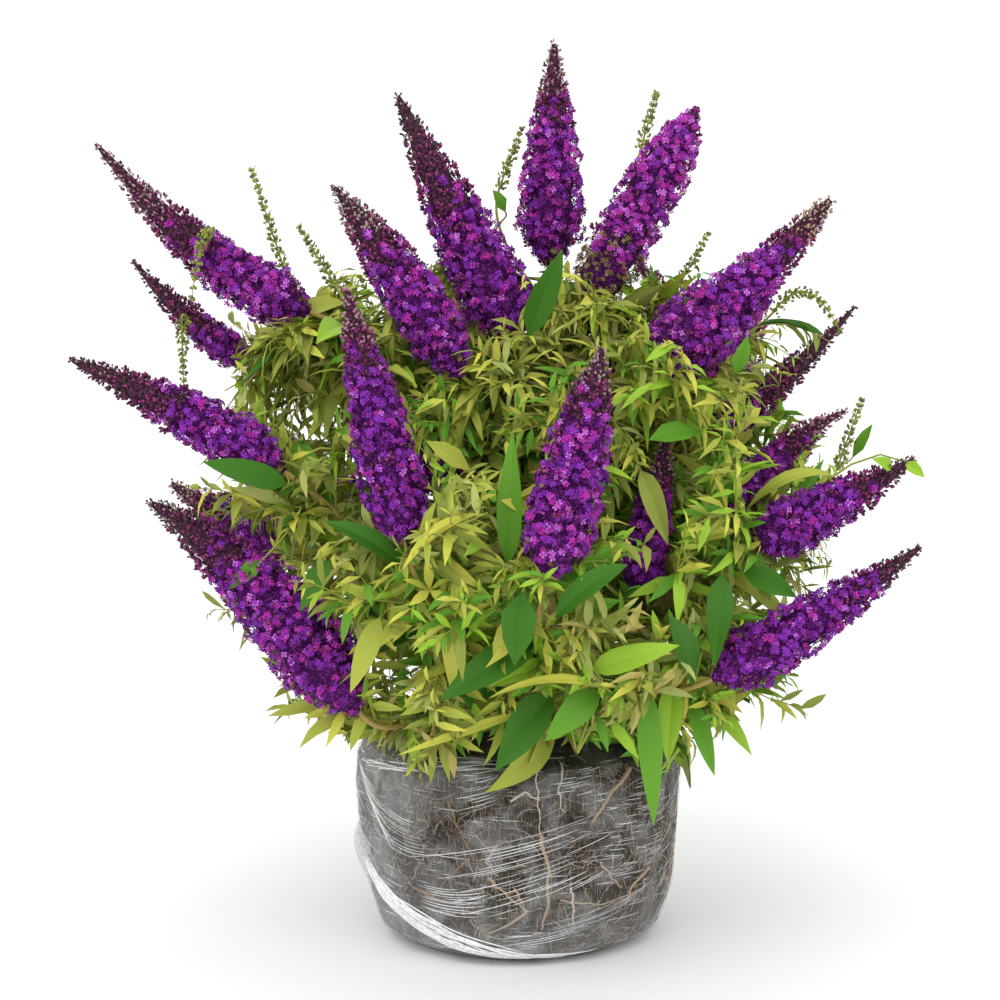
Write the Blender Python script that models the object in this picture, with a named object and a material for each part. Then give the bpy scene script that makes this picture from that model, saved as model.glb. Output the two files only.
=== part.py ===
"""Flowering butterfly bush on its film-wrapped root ball, in metres, +Z up.

The origin is the centre of the root ball's flat underside. The photograph's view looks along +Y, so the
front of the bush is towards -Y. A woody stool stands on the soil. One cane leaves each of its seats and
runs into a mass of twigs, leaves and flower spikes that keeps to its own space in the crown.
"""

import math
import random
from typing import NamedTuple

import bmesh
import bpy
from mathutils import Vector
from mathutils.bvhtree import BVHTree

MM = 0.001
UP = Vector((0, 0, 1))
SEAT_GAP = 0.3 * MM

# Root ball: radius at each height, from the flat underside to the level soil on top
BALL_RADIUS = 150 * MM
BALL_HEIGHT = 195 * MM
BALL_SIDES = 26
BALL_RINGS = ((0.70, 0), (0.86, 0.07), (0.94, 0.25), (0.975, 0.48), (1, 0.74), (1, 0.88), (0.95, 0.96),
              (0.75, 1), (0.40, 1))
BALL_LUMPS = 0.012
BALL_CREASE, BAND_CREASE = 40, 50

# Roll of gathered film low on the ball: bearing in degrees, height, thickness at its middle
BAND_START = (178, 98 * MM)
BAND_END = (286, 9 * MM)
BAND_RADIUS = 5.5 * MM
BAND_END_SHARE = 0.35
BAND_POINTS = 21
BAND_SIDES = 6
BAND_FEEL_STEP = 0.1 * MM

# Stool: the short woody foot, with flat seats for the canes all round its shoulder and on its top
STOOL_SIDES = 12
STOOL_FOOT = BALL_HEIGHT + SEAT_GAP
FOOT_RADIUS, WAIST_RADIUS, SHOULDER_RADIUS, TOP_RADIUS = 44 * MM, 35 * MM, 32 * MM, 22 * MM
WAIST_RISE, SHOULDER_RISE, TOP_RISE = 9 * MM, 22 * MM, 32 * MM
TOP_SEAT_RADIUS = 14.5 * MM

# Canes
SHOULDER_CANE, TOP_CANE, FLANK_CANE = 5.2 * MM, 4.2 * MM, 3.4 * MM
NECK_TAPER = 0.72
STEM_TIP_RADIUS = 1.8 * MM
END_LENGTH = 2 * MM
NECK = {"shoulder": 0.30, "top": 0.40, "centre": 0.48, "flank": 0.30}
LEAVE_SEAT = {"shoulder": 0.34, "top": 0.42, "centre": 0.40, "flank": 0.45}
REACH_SPIKE = 0.30
SKIRT_DROOP = 0.5

# Side stems: where they may leave the main stem, how far before the nearest place, and how straight
BRANCH_PLACES = (0.45, 0.95, 11)
EARLIEST_BRANCH = 0.4
BRANCH_LEAD = 0.15
BRANCH_REACH = 0.35
MAIN_END, SPIKE_STEM, BUD_STEM, BUD_STEM_END = (share * STEM_TIP_RADIUS for share in (1.4, 1.4, 1.1, 0.6))
BUD_CORE = 0.5 * STEM_TIP_RADIUS

# Flower spikes
SPIKE_SIDES = 6
SPIKE_SHARES = (0, 0.04, 0.16, 0.32, 0.48, 0.64, 0.80, 0.92, 1)
SPIKE_SHOULDER = 0.15
TAPER = 2.25
SAG = 0.05
TIP_SHARE = 0.75
KNOBBLE = 0.07
STEM_IN_SPIKE = 0.35
BUD_SIDES, BUD_RINGS = 3, 4
BUD_GIRTH = 11 * MM

# Leaves and twigs
JOINT_STEP = 42 * MM
LEAF_LENGTH = (108 * MM, 142 * MM)
LEAF_WIDTH = 0.28
LEAF_THICK = 4.5 * MM
LEAF_WIDEST = 0.36
LEAF_ARCH = 0.09
LEAF_SINK = 0.9 * MM
LEAF_LEAN = (30, 80)
LEAF_DROOP = (0.0, 0.8)
LEAF_SEARCH, LEAF_ROLL = 0.25, 0.6
FACE_UP, FACE_ALONG = 1.2, 0.5
TWIG_LENGTH = (80 * MM, 150 * MM)
TWIG_RADIUS = 2.8 * MM
TWIG_TAPER = 0.4
TWIG_SINK = 1.2 * MM
TWIG_LEAN = (32, 70)
TWIG_RISE, TWIG_FALL = (0.0, 0.3), (0.1, 0.45)
TWIG_SEARCH = 0.3
TWIG_SIDES, TWIG_RINGS = 3, 2
TWIG_JOINTS = ((0, 0.75), (1, 0.5), (2, 0.35))
FEWEST_TWIG_LEAVES = 3
LEAF_TRIES, TWIG_TRIES = 9, 4
SHORTER_EACH_TRY = 0.045
ROOT_SHARE = 0.16

# Clearances and the leafy dome
OWN_MIDDLE = 0.78
OWN_SPACE = 28 * MM
CLEAR = 1.2 * MM
SPIKE_CLEAR = 1.56 * MM
DOME_CENTRE = Vector((-5 * MM, 0, 385 * MM))
DOME_REACH = Vector((335 * MM, 300 * MM, 240 * MM))
LOWEST_LEAF = 85 * MM
GUARD_SIDES = 6

COLOURS = {
    "soil_in_film": ((0.045, 0.038, 0.033), 0.32),
    "gathered_film": ((0.55, 0.56, 0.57), 0.25),
    "bark": ((0.17, 0.115, 0.065), 0.8),
    "leaf": ((0.22, 0.33, 0.06), 0.6),
    "blossom": ((0.17, 0.012, 0.27), 0.75),
    "bud": ((0.20, 0.25, 0.07), 0.7),
}


class Spike(NamedTuple):
    """A flower spike from its base to its tip, in millimetres, with its greatest thickness.

    A lower taper thins it sooner. Its middle hangs below the straight line by sag times its level reach.
    """

    base: tuple
    tip: tuple
    girth: float
    taper: float = TAPER
    sag: float = SAG


class Bud(NamedTuple):
    """A thin green spike of closed buds; arch lifts its middle above the straight line, in millimetres.

    It branches off the flower spike that carrier numbers, or off the main stem where that is None.
    """

    base: tuple
    tip: tuple
    arch: float = 0
    carrier: int | None = None


class Mass(NamedTuple):
    """One mass: the seat and bearing of its cane, its spikes, the main one first, and its bud spikes."""

    name: str
    seat: str
    bearing: float
    spikes: tuple
    buds: tuple = ()


MASSES = (
    Mass("top", "centre", 0, (Spike((27, 30, 620), (32, 60, 824), 62),), (
        Bud((-18, 62, 690), (2, 72, 742)),)),
    Mass("top_left", "top", 244, (
        Spike((0, -50, 564), (-111, -10, 780), 70, 2.0),
        Spike((-51, -90, 535), (-167, -60, 702), 54, 3.0, -0.05),
        Spike((-59, -60, 418), (-94, -60, 513), 44))),
    Mass("upper_left", "top", 192, (
        Spike((-190, -20, 583), (-383, 0, 734), 54, sag=0.11),
        Spike((-249, 60, 527), (-363, 90, 620), 34, sag=0.08)), (
        Bud((-210, 22, 600), (-245, 34, 708)),
        Bud((-168, 0, 606), (-201, 20, 656)),
        Bud((-278, -48, 660), (-294, -52, 600), 14, carrier=0),
        Bud((-312, 42, 568), (-311, 40, 499), 6, carrier=1))),
    Mass("left", "shoulder", 195, (Spike((-208, -130, 455), (-397, -120, 554), 55, 2.0, -0.03),)),
    Mass("lower_left", "shoulder", 225, (Spike((-142, -170, 248), (-330, -110, 425), 79, 1.9, -0.1),)),
    Mass("front_left", "shoulder", 255, (Spike((-98, -220, 405), (-150, -190, 626), 58, 2.4, 0.0),)),
    Mass("front", "shoulder", 285, (Spike((22, -250, 385), (69, -230, 581), 63, 3.0),)),
    Mass("lower_right", "shoulder", 315, (Spike((168, -170, 277), (353, -150, 393), 57, sag=0.03),)),
    Mass("right_front", "shoulder", 345, (Spike((206, -120, 389), (351, -110, 464), 54, sag=0.02),)),
    Mass("right", "shoulder", 15, (
        Spike((179, -40, 396), (301, 10, 489), 36, sag=-0.09),
        Spike((171, 10, 467), (314, 70, 579), 34, sag=0.07)), (Bud((289, -30, 442), (311, -20, 503)),)),
    Mass("upper_right", "top", 295.5, (
        Spike((116, -100, 545), (278, -60, 691), 82, 1.4),
        Spike((104, -130, 347), (131, -110, 489), 42)), (Bud((230, -22, 584), (290, -20, 566), 26),)),
    Mass("top_right", "top", 347, (Spike((57, -20, 583), (162, 20, 766), 56, 6.0, -0.02),), (
        Bud((112, 52, 728), (126, 62, 776)), Bud((148, 50, 600), (174, 60, 646)))),
    Mass("back_right_top", "top", 38.5, (
        Spike((170, 140, 466), (241, 205, 576), 64),
        Spike((160, 90, 542), (112, 130, 617), 37))),
    Mass("back_top", "top", 90, (
        Spike((25, 150, 447), (35, 215, 611), 60),
        Spike((-30, 150, 484), (-79, 222, 603), 50))),
    Mass("back_left_top", "top", 141, (Spike((-191, 130, 554), (-311, 180, 642), 44, sag=0.08),), (
        Bud((-130, 150, 530), (-150, 170, 590)),)),
    Mass("back_right", "shoulder", 45, (Spike((180, 140, 370), (296, 232, 436), 62),)),
    Mass("back_right_low", "shoulder", 75, (Spike((80, 190, 330), (118, 335, 430), 66),)),
    Mass("back", "shoulder", 105, (Spike((-40, 200, 350), (-66, 345, 446), 64),)),
    Mass("back_left", "shoulder", 135, (Spike((-140, 180, 340), (-232, 288, 426), 66),)),
    Mass("back_left_low", "shoulder", 165, (Spike((-200, 90, 340), (-334, 128, 402), 60),)),
    Mass("front_skirt", "flank", 285, ()),
    Mass("left_skirt", "flank", 225, ()),
    Mass("right_skirt", "flank", 345, ()),
    Mass("back_skirt", "flank", 105, ()),
)

SKIRT_END = {
    "front_skirt": (50, -182, 214),
    "left_skirt": (-120, -135, 216),
    "right_skirt": (178, -60, 216),
    "back_skirt": (-40, 180, 214),
}


def metres(point):
    return Vector(point) * MM


def bearing_vector(degrees):
    angle = math.radians(degrees)
    return Vector((math.cos(angle), math.sin(angle), 0))


def bezier(points, t):
    a, b, c, d = points
    s = 1 - t
    return a * s**3 + b * 3 * s * s * t + c * 3 * s * t * t + d * t**3


def bezier_direction(points, t):
    a, b, c, d = points
    s = 1 - t
    return ((b - a) * s * s + (c - b) * 2 * s * t + (d - c) * t * t).normalized()


def bezier_length(points, start=0.0, end=1.0, pieces=24):
    marks = [bezier(points, start + (end - start) * i / pieces) for i in range(pieces + 1)]
    return sum((b - a).length for a, b in zip(marks, marks[1:]))


def spike_drop(spike):
    """How far a spike's middle hangs below the straight line, in metres."""
    return spike.sag * (metres(spike.tip) - metres(spike.base)).to_2d().length


def spike_point(spike, s):
    """A point of a spike's axis, which bows down from the straight line."""
    return metres(spike.base).lerp(metres(spike.tip), s) - UP * spike_drop(spike) * 4 * s * (1 - s)


def spike_direction(spike):
    """The way a spike leaves its base."""
    return (metres(spike.tip) - metres(spike.base) - UP * 4 * spike_drop(spike)).normalized()


def swell_at(s, taper):
    """A spike's thickness at a share of its length, over its girth."""
    return math.sqrt(min(1, s / SPIKE_SHOULDER)) * max(1 - s**taper, TIP_SHARE * math.sqrt(1 - s))


def frames_along(path):
    """A direction and two sides at each point of a path, carried along it without twist."""
    frames = []
    side = None
    for i in range(len(path)):
        ahead = path[min(i + 2, len(path) - 1)] if i == 0 else path[min(i + 1, len(path) - 1)]
        behind = path[-3] if i == len(path) - 1 else path[max(i - 1, 0)]
        tangent = (ahead - behind).normalized()
        if side is None:
            side = Vector((1, 0, 0)) if abs(tangent.z) > 0.9 else tangent.cross(UP)
        side = (side - tangent * side.dot(tangent)).normalized()
        frames.append((tangent, side, tangent.cross(side)))
    return frames


def sphere_along(path, radii, sides, turn=0.0, lumps=None):
    """A sphere's rings carried along a path: poles at its two ends, one ring at each point between."""
    rings = len(path) - 1
    frames = frames_along(path)
    mesh = bmesh.new()
    bmesh.ops.create_uvsphere(mesh, u_segments=sides, v_segments=rings, radius=1)
    for vertex in mesh.verts:
        ring = rings - round(math.acos(max(-1, min(1, vertex.co.z))) * rings / math.pi)
        angle = math.atan2(vertex.co.y, vertex.co.x) + turn * ring
        radius = radii[ring] if 0 < ring < rings else 0
        if lumps:
            radius *= lumps(angle, ring)
        _, side, other = frames[ring]
        vertex.co = path[ring] + (side * math.cos(angle) + other * math.sin(angle)) * radius
    return mesh


def leaf_solid(root, tip, normal, width, grow=0.0):
    """A bent blade of six faces with a raised rib, widest before its middle."""
    length = (tip - root).length
    along = (tip - root) / length
    across = along.cross(normal).normalized()
    normal = across.cross(along)
    bend = root + along * length * LEAF_WIDEST + normal * length * LEAF_ARCH
    mesh = bmesh.new()
    bmesh.ops.create_uvsphere(mesh, u_segments=3, v_segments=2, radius=1)
    for vertex in mesh.verts:
        x, y, z = vertex.co
        if z > 0.5:
            vertex.co = tip + along * grow * 2
        elif z < -0.5:
            vertex.co = root
        elif x > 0.5:
            vertex.co = bend + normal * (LEAF_THICK + grow)
        else:
            vertex.co = bend + across * math.copysign(width / 2 + grow, y) - normal * grow
    bmesh.ops.recalc_face_normals(mesh, faces=mesh.faces)
    return mesh


def link(name, mesh_data, collection, material):
    piece = bpy.data.objects.new(name, mesh_data)
    collection.objects.link(piece)
    if material:
        mesh_data.materials.clear()
        mesh_data.materials.append(bpy.data.materials[material])
    return piece


def solid_object(name, shape, collection, material):
    """An object from a bmesh, which is freed."""
    data = bpy.data.meshes.new(name)
    shape.to_mesh(data)
    shape.free()
    return link(name, data, collection, material)


def make_materials():
    for name, (colour, roughness) in COLOURS.items():
        material = bpy.data.materials.new(name)
        material.use_nodes = True
        principled = material.node_tree.nodes["Principled BSDF"]
        principled.inputs["Base Color"].default_value = (*colour, 1)
        principled.inputs["Roughness"].default_value = roughness
        material.diffuse_color = (*colour, 1)


def make_tube(name, path, radii, resolution, collection):
    """A limb: a tapering curve with filled caps and four sides, and two more for each step of resolution."""
    curve = bpy.data.curves.new(name, "CURVE")
    curve.dimensions = "3D"
    curve.bevel_depth = 1
    curve.bevel_resolution = resolution
    curve.use_fill_caps = True
    spline = curve.splines.new("POLY")
    spline.points.add(len(path) - 1)
    for point, place, radius in zip(spline.points, path, radii):
        point.co = (*place, 1)
        point.radius = radius
    return link(name, curve, collection, "bark")


def tube_as_mesh(tube):
    """The curve made a mesh with its caps welded on, so that it can be joined."""
    graph = bpy.context.evaluated_depsgraph_get()
    data = bpy.data.meshes.new_from_object(tube.evaluated_get(graph))
    shape = bmesh.new()
    shape.from_mesh(data)
    bmesh.ops.remove_doubles(shape, verts=shape.verts, dist=1e-6)
    bmesh.ops.recalc_face_normals(shape, faces=shape.faces)
    shape.to_mesh(data)
    shape.free()
    mesh_object = link(tube.name + "_solid", data, tube.users_collection[0], "bark")
    mesh_object.matrix_world = tube.matrix_world
    bpy.data.objects.remove(tube)
    return mesh_object


def smooth(piece, degrees):
    piece.data.shade_smooth()
    piece.data.set_sharp_from_angle(angle=math.radians(degrees))


def make_root_ball(collection):
    path = [Vector((0, 0, 0))]
    path += [Vector((0, 0, rise * BALL_HEIGHT)) for _, rise in BALL_RINGS]
    path += [Vector((0, 0, BALL_HEIGHT))]
    radii = [0] + [share * BALL_RADIUS for share, _ in BALL_RINGS] + [0]
    flat_rings = (1, len(BALL_RINGS) - 1, len(BALL_RINGS))

    def lumps(angle, ring):
        if ring in flat_rings:
            return 1
        return 1 + BALL_LUMPS * (math.sin(3 * angle + ring) + math.sin(5 * angle - 1.7 * ring)) / 2

    shape = sphere_along(path, radii, BALL_SIDES, lumps=lumps)
    ball = solid_object("root_ball", shape, collection, "soil_in_film")
    smooth(ball, BALL_CREASE)
    return ball


def make_film_band(collection, ball):
    """The roll of gathered film, laid on the ball along each bearing from outside."""
    surface = BVHTree.FromObject(ball, bpy.context.evaluated_depsgraph_get())
    path = []
    radii = []
    for i in range(BAND_POINTS):
        s = i / (BAND_POINTS - 1)
        bearing = BAND_START[0] + (BAND_END[0] - BAND_START[0]) * s
        height = BAND_START[1] + (BAND_END[1] - BAND_START[1]) * math.sin(s * math.pi / 2)
        radius = BAND_RADIUS * (BAND_END_SHARE + (1 - BAND_END_SHARE) * math.sqrt(abs(math.sin(s * math.pi))))
        outward = bearing_vector(bearing)
        place = outward * (BALL_RADIUS + 4 * BAND_RADIUS) + UP * height
        while surface.find_nearest(place)[3] > radius + 1.5 * SEAT_GAP:
            place -= outward * BAND_FEEL_STEP
        path.append(place)
        radii.append(radius)
    shape = sphere_along(path, radii, BAND_SIDES)
    band = solid_object("film_band", shape, collection, "gathered_film")
    smooth(band, BAND_CREASE)


def make_stool(collection):
    rings = ((FOOT_RADIUS, 0), (WAIST_RADIUS, WAIST_RISE), (SHOULDER_RADIUS, SHOULDER_RISE),
             (TOP_RADIUS, TOP_RISE))
    path = [UP * STOOL_FOOT]
    path += [UP * (STOOL_FOOT + rise) for _, rise in rings]
    path += [UP * (STOOL_FOOT + TOP_RISE)]
    radii = [0] + [radius for radius, _ in rings] + [0]
    shape = sphere_along(path, radii, STOOL_SIDES)
    return solid_object("stool", shape, collection, "bark")


def seat_of(mass):
    """Where a mass's cane stands, the way it leaves, and its radius there."""
    apothem = math.cos(math.pi / STOOL_SIDES)
    outward = bearing_vector(mass.bearing)
    if mass.seat == "centre":
        return UP * (STOOL_FOOT + TOP_RISE + SEAT_GAP), UP.copy(), TOP_CANE
    if mass.seat == "top":
        return outward * TOP_SEAT_RADIUS + UP * (STOOL_FOOT + TOP_RISE + SEAT_GAP), UP.copy(), TOP_CANE
    if mass.seat == "shoulder":
        low, high = (SHOULDER_RADIUS, SHOULDER_RISE), (TOP_RADIUS, TOP_RISE)
        radius = SHOULDER_CANE
    else:
        low, high = (WAIST_RADIUS, WAIST_RISE), (SHOULDER_RADIUS, SHOULDER_RISE)
        radius = FLANK_CANE
    middle = outward * apothem * (low[0] + high[0]) / 2 + UP * (STOOL_FOOT + (low[1] + high[1]) / 2)
    rise, run = high[1] - low[1], apothem * (low[0] - high[0])
    normal = (outward * rise + UP * run).normalized()
    return middle + normal * SEAT_GAP, normal, radius


def cane_curve(mass):
    """The cane's whole line, from its seat to the base of the main spike."""
    seat, away, radius = seat_of(mass)
    if mass.spikes:
        base = metres(mass.spikes[0].base)
        arrive = spike_direction(mass.spikes[0])
    else:
        base = metres(SKIRT_END[mass.name])
        arrive = (base - seat).to_2d().to_3d().normalized() - UP * SKIRT_DROOP
    span = (base - seat).length
    points = (seat, seat + away * span * LEAVE_SEAT[mass.seat], base - arrive * span * REACH_SPIKE, base)
    return points, radius


def tube_along(curve, start, end, first_radius, last_radius, gap=0.0):
    """Points and radii of a limb between two places on its curve, with square straight ends."""
    count = max(2, round(bezier_length(curve, start, end) / JOINT_STEP))
    ends = (bezier_direction(curve, start), bezier_direction(curve, end))
    path = [bezier(curve, start) + ends[0] * gap]
    path.append(path[0] + ends[0] * END_LENGTH)
    for i in range(1, count):
        path.append(bezier(curve, start + (end - start) * i / count))
    last = bezier(curve, end)
    path += [last - ends[1] * END_LENGTH, last]
    radii = [first_radius + (last_radius - first_radius) * i / (len(path) - 1) for i in range(len(path))]
    return path, radii


def joints_along(path):
    """The middle of each straight piece of a stem, where leaves come out, with the stem's direction."""
    pieces = [(a, b) for a, b in zip(path, path[1:]) if (b - a).length > 3 * END_LENGTH]
    return [(a.lerp(b, 0.5), (b - a).normalized()) for a, b in pieces]


def spike_shape(spike, grow=0.0):
    """A knobbly tapering spike, widest a little above its rounded base."""
    path = [spike_point(spike, s) for s in SPIKE_SHARES]
    radii = []
    for ring, s in enumerate(SPIKE_SHARES):
        knob = 1 + KNOBBLE * (1 if ring % 2 else -1)
        radii.append(spike.girth / 2 * MM * swell_at(s, spike.taper) * knob + grow)
    return sphere_along(path, radii, SPIKE_SIDES, turn=math.pi / SPIKE_SIDES)


def bud_path(bud):
    base, tip = metres(bud.base), metres(bud.tip)
    shares = [i / (BUD_RINGS + 1) for i in range(BUD_RINGS + 2)]
    return [base.lerp(tip, s) + UP * bud.arch * MM * 4 * s * (1 - s) for s in shares], shares


def bud_shape(bud, grow=0.0):
    path, shares = bud_path(bud)
    radii = [BUD_GIRTH / 2 * swell_at(s, TAPER) + grow for s in shares]
    return sphere_along(path, radii, BUD_SIDES, turn=math.pi / BUD_SIDES)


def branch_curve(stem, base, arrive):
    """The side stem of a second spike or a bud: it leaves the nearest good place of the main stem."""
    first, last, count = BRANCH_PLACES
    places = [first + (last - first) * i / (count - 1) for i in range(count)]
    nearest = min(places, key=lambda t: (bezier(stem, t) - base).length)
    place = max(EARLIEST_BRANCH, nearest - BRANCH_LEAD)
    start = bezier(stem, place)
    reach = (base - start).length
    leave = bezier_direction(stem, place)
    return start, start + leave * reach * BRANCH_REACH, base - arrive * reach * BRANCH_REACH, base


def carried_curve(spike, base, arrive):
    """The short stem of a bud spike that comes out of a flower spike beside it."""
    marks = [spike_point(spike, tenth / 10) for tenth in range(2, 9)]
    start = min(marks, key=lambda mark: (mark - base).length)
    reach = (base - start).length
    return start, start.lerp(base, BRANCH_REACH), base - arrive * reach * BRANCH_REACH, base


class Line(NamedTuple):
    """A stem that leaves grow on: its curve and the stretch of it that bears them."""

    curve: tuple
    start: float
    end: float


def stems_of(mass):
    """The main stem and every side stem of a mass, with the radii of each."""
    main, radius = cane_curve(mass)
    neck = NECK[mass.seat]
    stems = [(Line(main, neck, 1.0), radius * NECK_TAPER, MAIN_END)]
    for spike in mass.spikes[1:]:
        side = branch_curve(main, metres(spike.base), spike_direction(spike))
        stems.append((Line(side, 0.0, 1.0), SPIKE_STEM, STEM_TIP_RADIUS))
    for bud in mass.buds:
        path, _ = bud_path(bud)
        arrive = (path[1] - path[0]).normalized()
        if bud.carrier is None:
            side = branch_curve(main, path[0], arrive)
        else:
            side = carried_curve(mass.spikes[bud.carrier], path[0], arrive)
        stems.append((Line(side, 0.0, 1.0), BUD_STEM, BUD_STEM_END))
    return stems


def guard_tube(path, radii):
    """A limb's shape with the clearance round it."""
    first = path[0] - (path[1] - path[0]).normalized() * CLEAR
    last = path[-1] + (path[-1] - path[-2]).normalized() * CLEAR
    wider = [0] + [radius + CLEAR for radius in radii] + [0]
    return sphere_along([first] + path + [last], wider, GUARD_SIDES)


class Space:
    """Each mass's own space: round its middle, inside the dome, and clear of all that is there already."""

    def __init__(self, base_pieces):
        self.middles = {}
        self.guards = []
        self.grown = []
        for mass in MASSES:
            curve, radius = cane_curve(mass)
            self.middles[mass.name] = bezier(curve, OWN_MIDDLE)
            bough = tube_along(curve, 0, NECK[mass.seat], radius, radius * NECK_TAPER)
            self.add_guard("", guard_tube(*bough))
            for line, first, last in stems_of(mass):
                path, radii = tube_along(line.curve, line.start, line.end, first, last)
                self.add_guard(mass.name, guard_tube(path, radii))
            for spike in mass.spikes:
                self.add_guard(mass.name, spike_shape(spike, SPIKE_CLEAR))
            for bud in mass.buds:
                self.add_guard(mass.name, bud_shape(bud, CLEAR))
        for piece in base_pieces:
            self.guards.append(("", BVHTree.FromObject(piece, bpy.context.evaluated_depsgraph_get())))

    def add_guard(self, owner, shape):
        self.guards.append((owner, BVHTree.FromBMesh(shape)))
        shape.free()

    def holds(self, owner, point):
        """Whether a point is in a mass's own space and in the dome."""
        own = self.middles[owner]
        for name, other in self.middles.items():
            if name == owner:
                continue
            between = other - own
            if (point - own).dot(between) / between.length > between.length / 2 + OWN_SPACE:
                return False
        place = point - DOME_CENTRE
        in_dome = sum((place[i] / DOME_REACH[i]) ** 2 for i in range(3)) < 1
        return in_dome and point.z > LOWEST_LEAF

    def admits(self, owner, whole, outer):
        """Whether a twig or leaf has room: whole against all that is foreign, outer against its own mass."""
        points = [vertex.co.copy() for vertex in whole.verts]
        if not all(self.holds(owner, point) for point in points):
            return False
        middle = sum(points, Vector()) / len(points)
        reach = max((point - middle).length for point in points)
        near = [(name, tree) for name, centre, size, tree in self.grown
                if (centre - middle).length < size + reach]
        whole_tree, outer_tree = BVHTree.FromBMesh(whole), BVHTree.FromBMesh(outer)
        for name, tree in self.guards + near:
            if tree.overlap(outer_tree if name == owner else whole_tree):
                return False
        return True

    def settle(self, owner, shape):
        """Notes a twig or leaf that has been placed."""
        points = [vertex.co for vertex in shape.verts]
        middle = sum(points, Vector()) / len(points)
        reach = max((point - middle).length for point in points)
        self.grown.append((owner, middle, reach, BVHTree.FromBMesh(shape)))


def pair_directions(along, turn):
    """Two opposite ways out of a stem at one joint."""
    side = along.cross(UP)
    side = side.normalized() if side.length > 0.1 else Vector((1, 0, 0))
    other = along.cross(side)
    first = side * math.cos(turn) + other * math.sin(turn)
    return first, -first


def slanted(rng, along, outward, least, most):
    lean = math.radians(rng.uniform(least, most))
    return along * math.cos(lean) + outward * math.sin(lean)


def find_leaf(mass, space, rng, joint, along, turn, side):
    """A leaf out of a joint that reaches outwards and arches over, or None where no try has room."""
    for attempt in range(LEAF_TRIES):
        outward = pair_directions(along, turn + rng.uniform(-LEAF_SEARCH, LEAF_SEARCH) * attempt)[side]
        aim = slanted(rng, along, outward, *LEAF_LEAN) - UP * rng.uniform(*LEAF_DROOP)
        aim.normalize()
        length = rng.uniform(*LEAF_LENGTH) * (1 - SHORTER_EACH_TRY * attempt)
        normal = UP * FACE_UP + along * FACE_ALONG + aim.cross(UP) * rng.uniform(-LEAF_ROLL, LEAF_ROLL)
        root, tip, width = joint - aim * LEAF_SINK, joint + aim * length, length * LEAF_WIDTH
        whole = leaf_solid(root, tip, normal, width, CLEAR)
        outer = leaf_solid(root.lerp(tip, ROOT_SHARE), tip, normal, width, CLEAR)
        admitted = space.admits(mass.name, whole, outer)
        whole.free()
        outer.free()
        if admitted:
            return leaf_solid(root, tip, normal, width)
    return None


def find_twig(mass, space, rng, joint, along, turn, side):
    """A side twig that leaves at a slant, rises a little and bows over, as its path, or None."""
    for attempt in range(TWIG_TRIES):
        outward = pair_directions(along, turn + rng.uniform(-TWIG_SEARCH, TWIG_SEARCH) * attempt)[side]
        aim = slanted(rng, along, outward, *TWIG_LEAN).normalized()
        length = rng.uniform(*TWIG_LENGTH) * (1 - SHORTER_EACH_TRY * attempt)
        rise, fall = rng.uniform(*TWIG_RISE), rng.uniform(*TWIG_FALL)
        start = joint - aim * TWIG_SINK
        path = []
        for i in range(TWIG_RINGS + 2):
            s = i / (TWIG_RINGS + 1)
            path.append(start + (aim * s + UP * (rise * s - fall * s * s)) * length)
        whole = twig_solid(path, CLEAR)
        outer = twig_solid([path[0].lerp(path[1], 0.5)] + path[1:], CLEAR)
        admitted = space.admits(mass.name, whole, outer)
        whole.free()
        outer.free()
        if admitted:
            return path
    return None


def twig_solid(path, grow=0.0):
    radii = [TWIG_RADIUS * (1 - TWIG_TAPER * i / len(path)) + grow for i in range(len(path))]
    return sphere_along(path, radii, TWIG_SIDES)


def add_leaf(mass, space, collection, *place):
    """Puts a leaf at a joint where one has room, and returns the pieces it added."""
    shape = find_leaf(mass, space, *place)
    if shape is None:
        return []
    space.settle(mass.name, shape)
    return [solid_object("leaf", shape, collection, "leaf")]


def add_twig(mass, space, collection, rng, joint, along, turn, side):
    """Puts a twig with its leaves at a joint, unless too few find room, and returns the pieces it added."""
    path = find_twig(mass, space, rng, joint, along, turn, side)
    if path is None:
        return []
    leaves = []
    for ring, share in TWIG_JOINTS:
        here = path[ring].lerp(path[ring + 1], share)
        ahead = (path[ring + 1] - path[ring]).normalized()
        for way in (0, 1):
            leaves += add_leaf(mass, space, collection, rng, here, ahead, math.pi / 2 * (ring % 2), way)
    if len(leaves) < FEWEST_TWIG_LEAVES:
        space.grown = space.grown[:len(space.grown) - len(leaves)]
        for leaf in leaves:
            bpy.data.objects.remove(leaf)
        return []
    shape = twig_solid(path)
    space.settle(mass.name, shape)
    return leaves + [solid_object("twig", shape, collection, "bark")]


def grow(mass, space, collection):
    """The seeded rule: opposite pairs at each joint, a twig taking the place of one leaf by turns."""
    for number, (line, first, last) in enumerate(stems_of(mass)):
        path, _ = tube_along(line.curve, line.start, line.end, first, last)
        for step, (joint, along) in enumerate(joints_along(path)):
            turn = math.pi / 2 * (step % 2)
            for side in (0, 1):
                rng = random.Random(f"{mass.name} {number} {step} {side}")
                place = (rng, joint, along, turn, side)
                twig = []
                if (step + side) % 2 == 0:
                    twig = add_twig(mass, space, collection, *place)
                if not twig:
                    add_leaf(mass, space, collection, *place)


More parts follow.
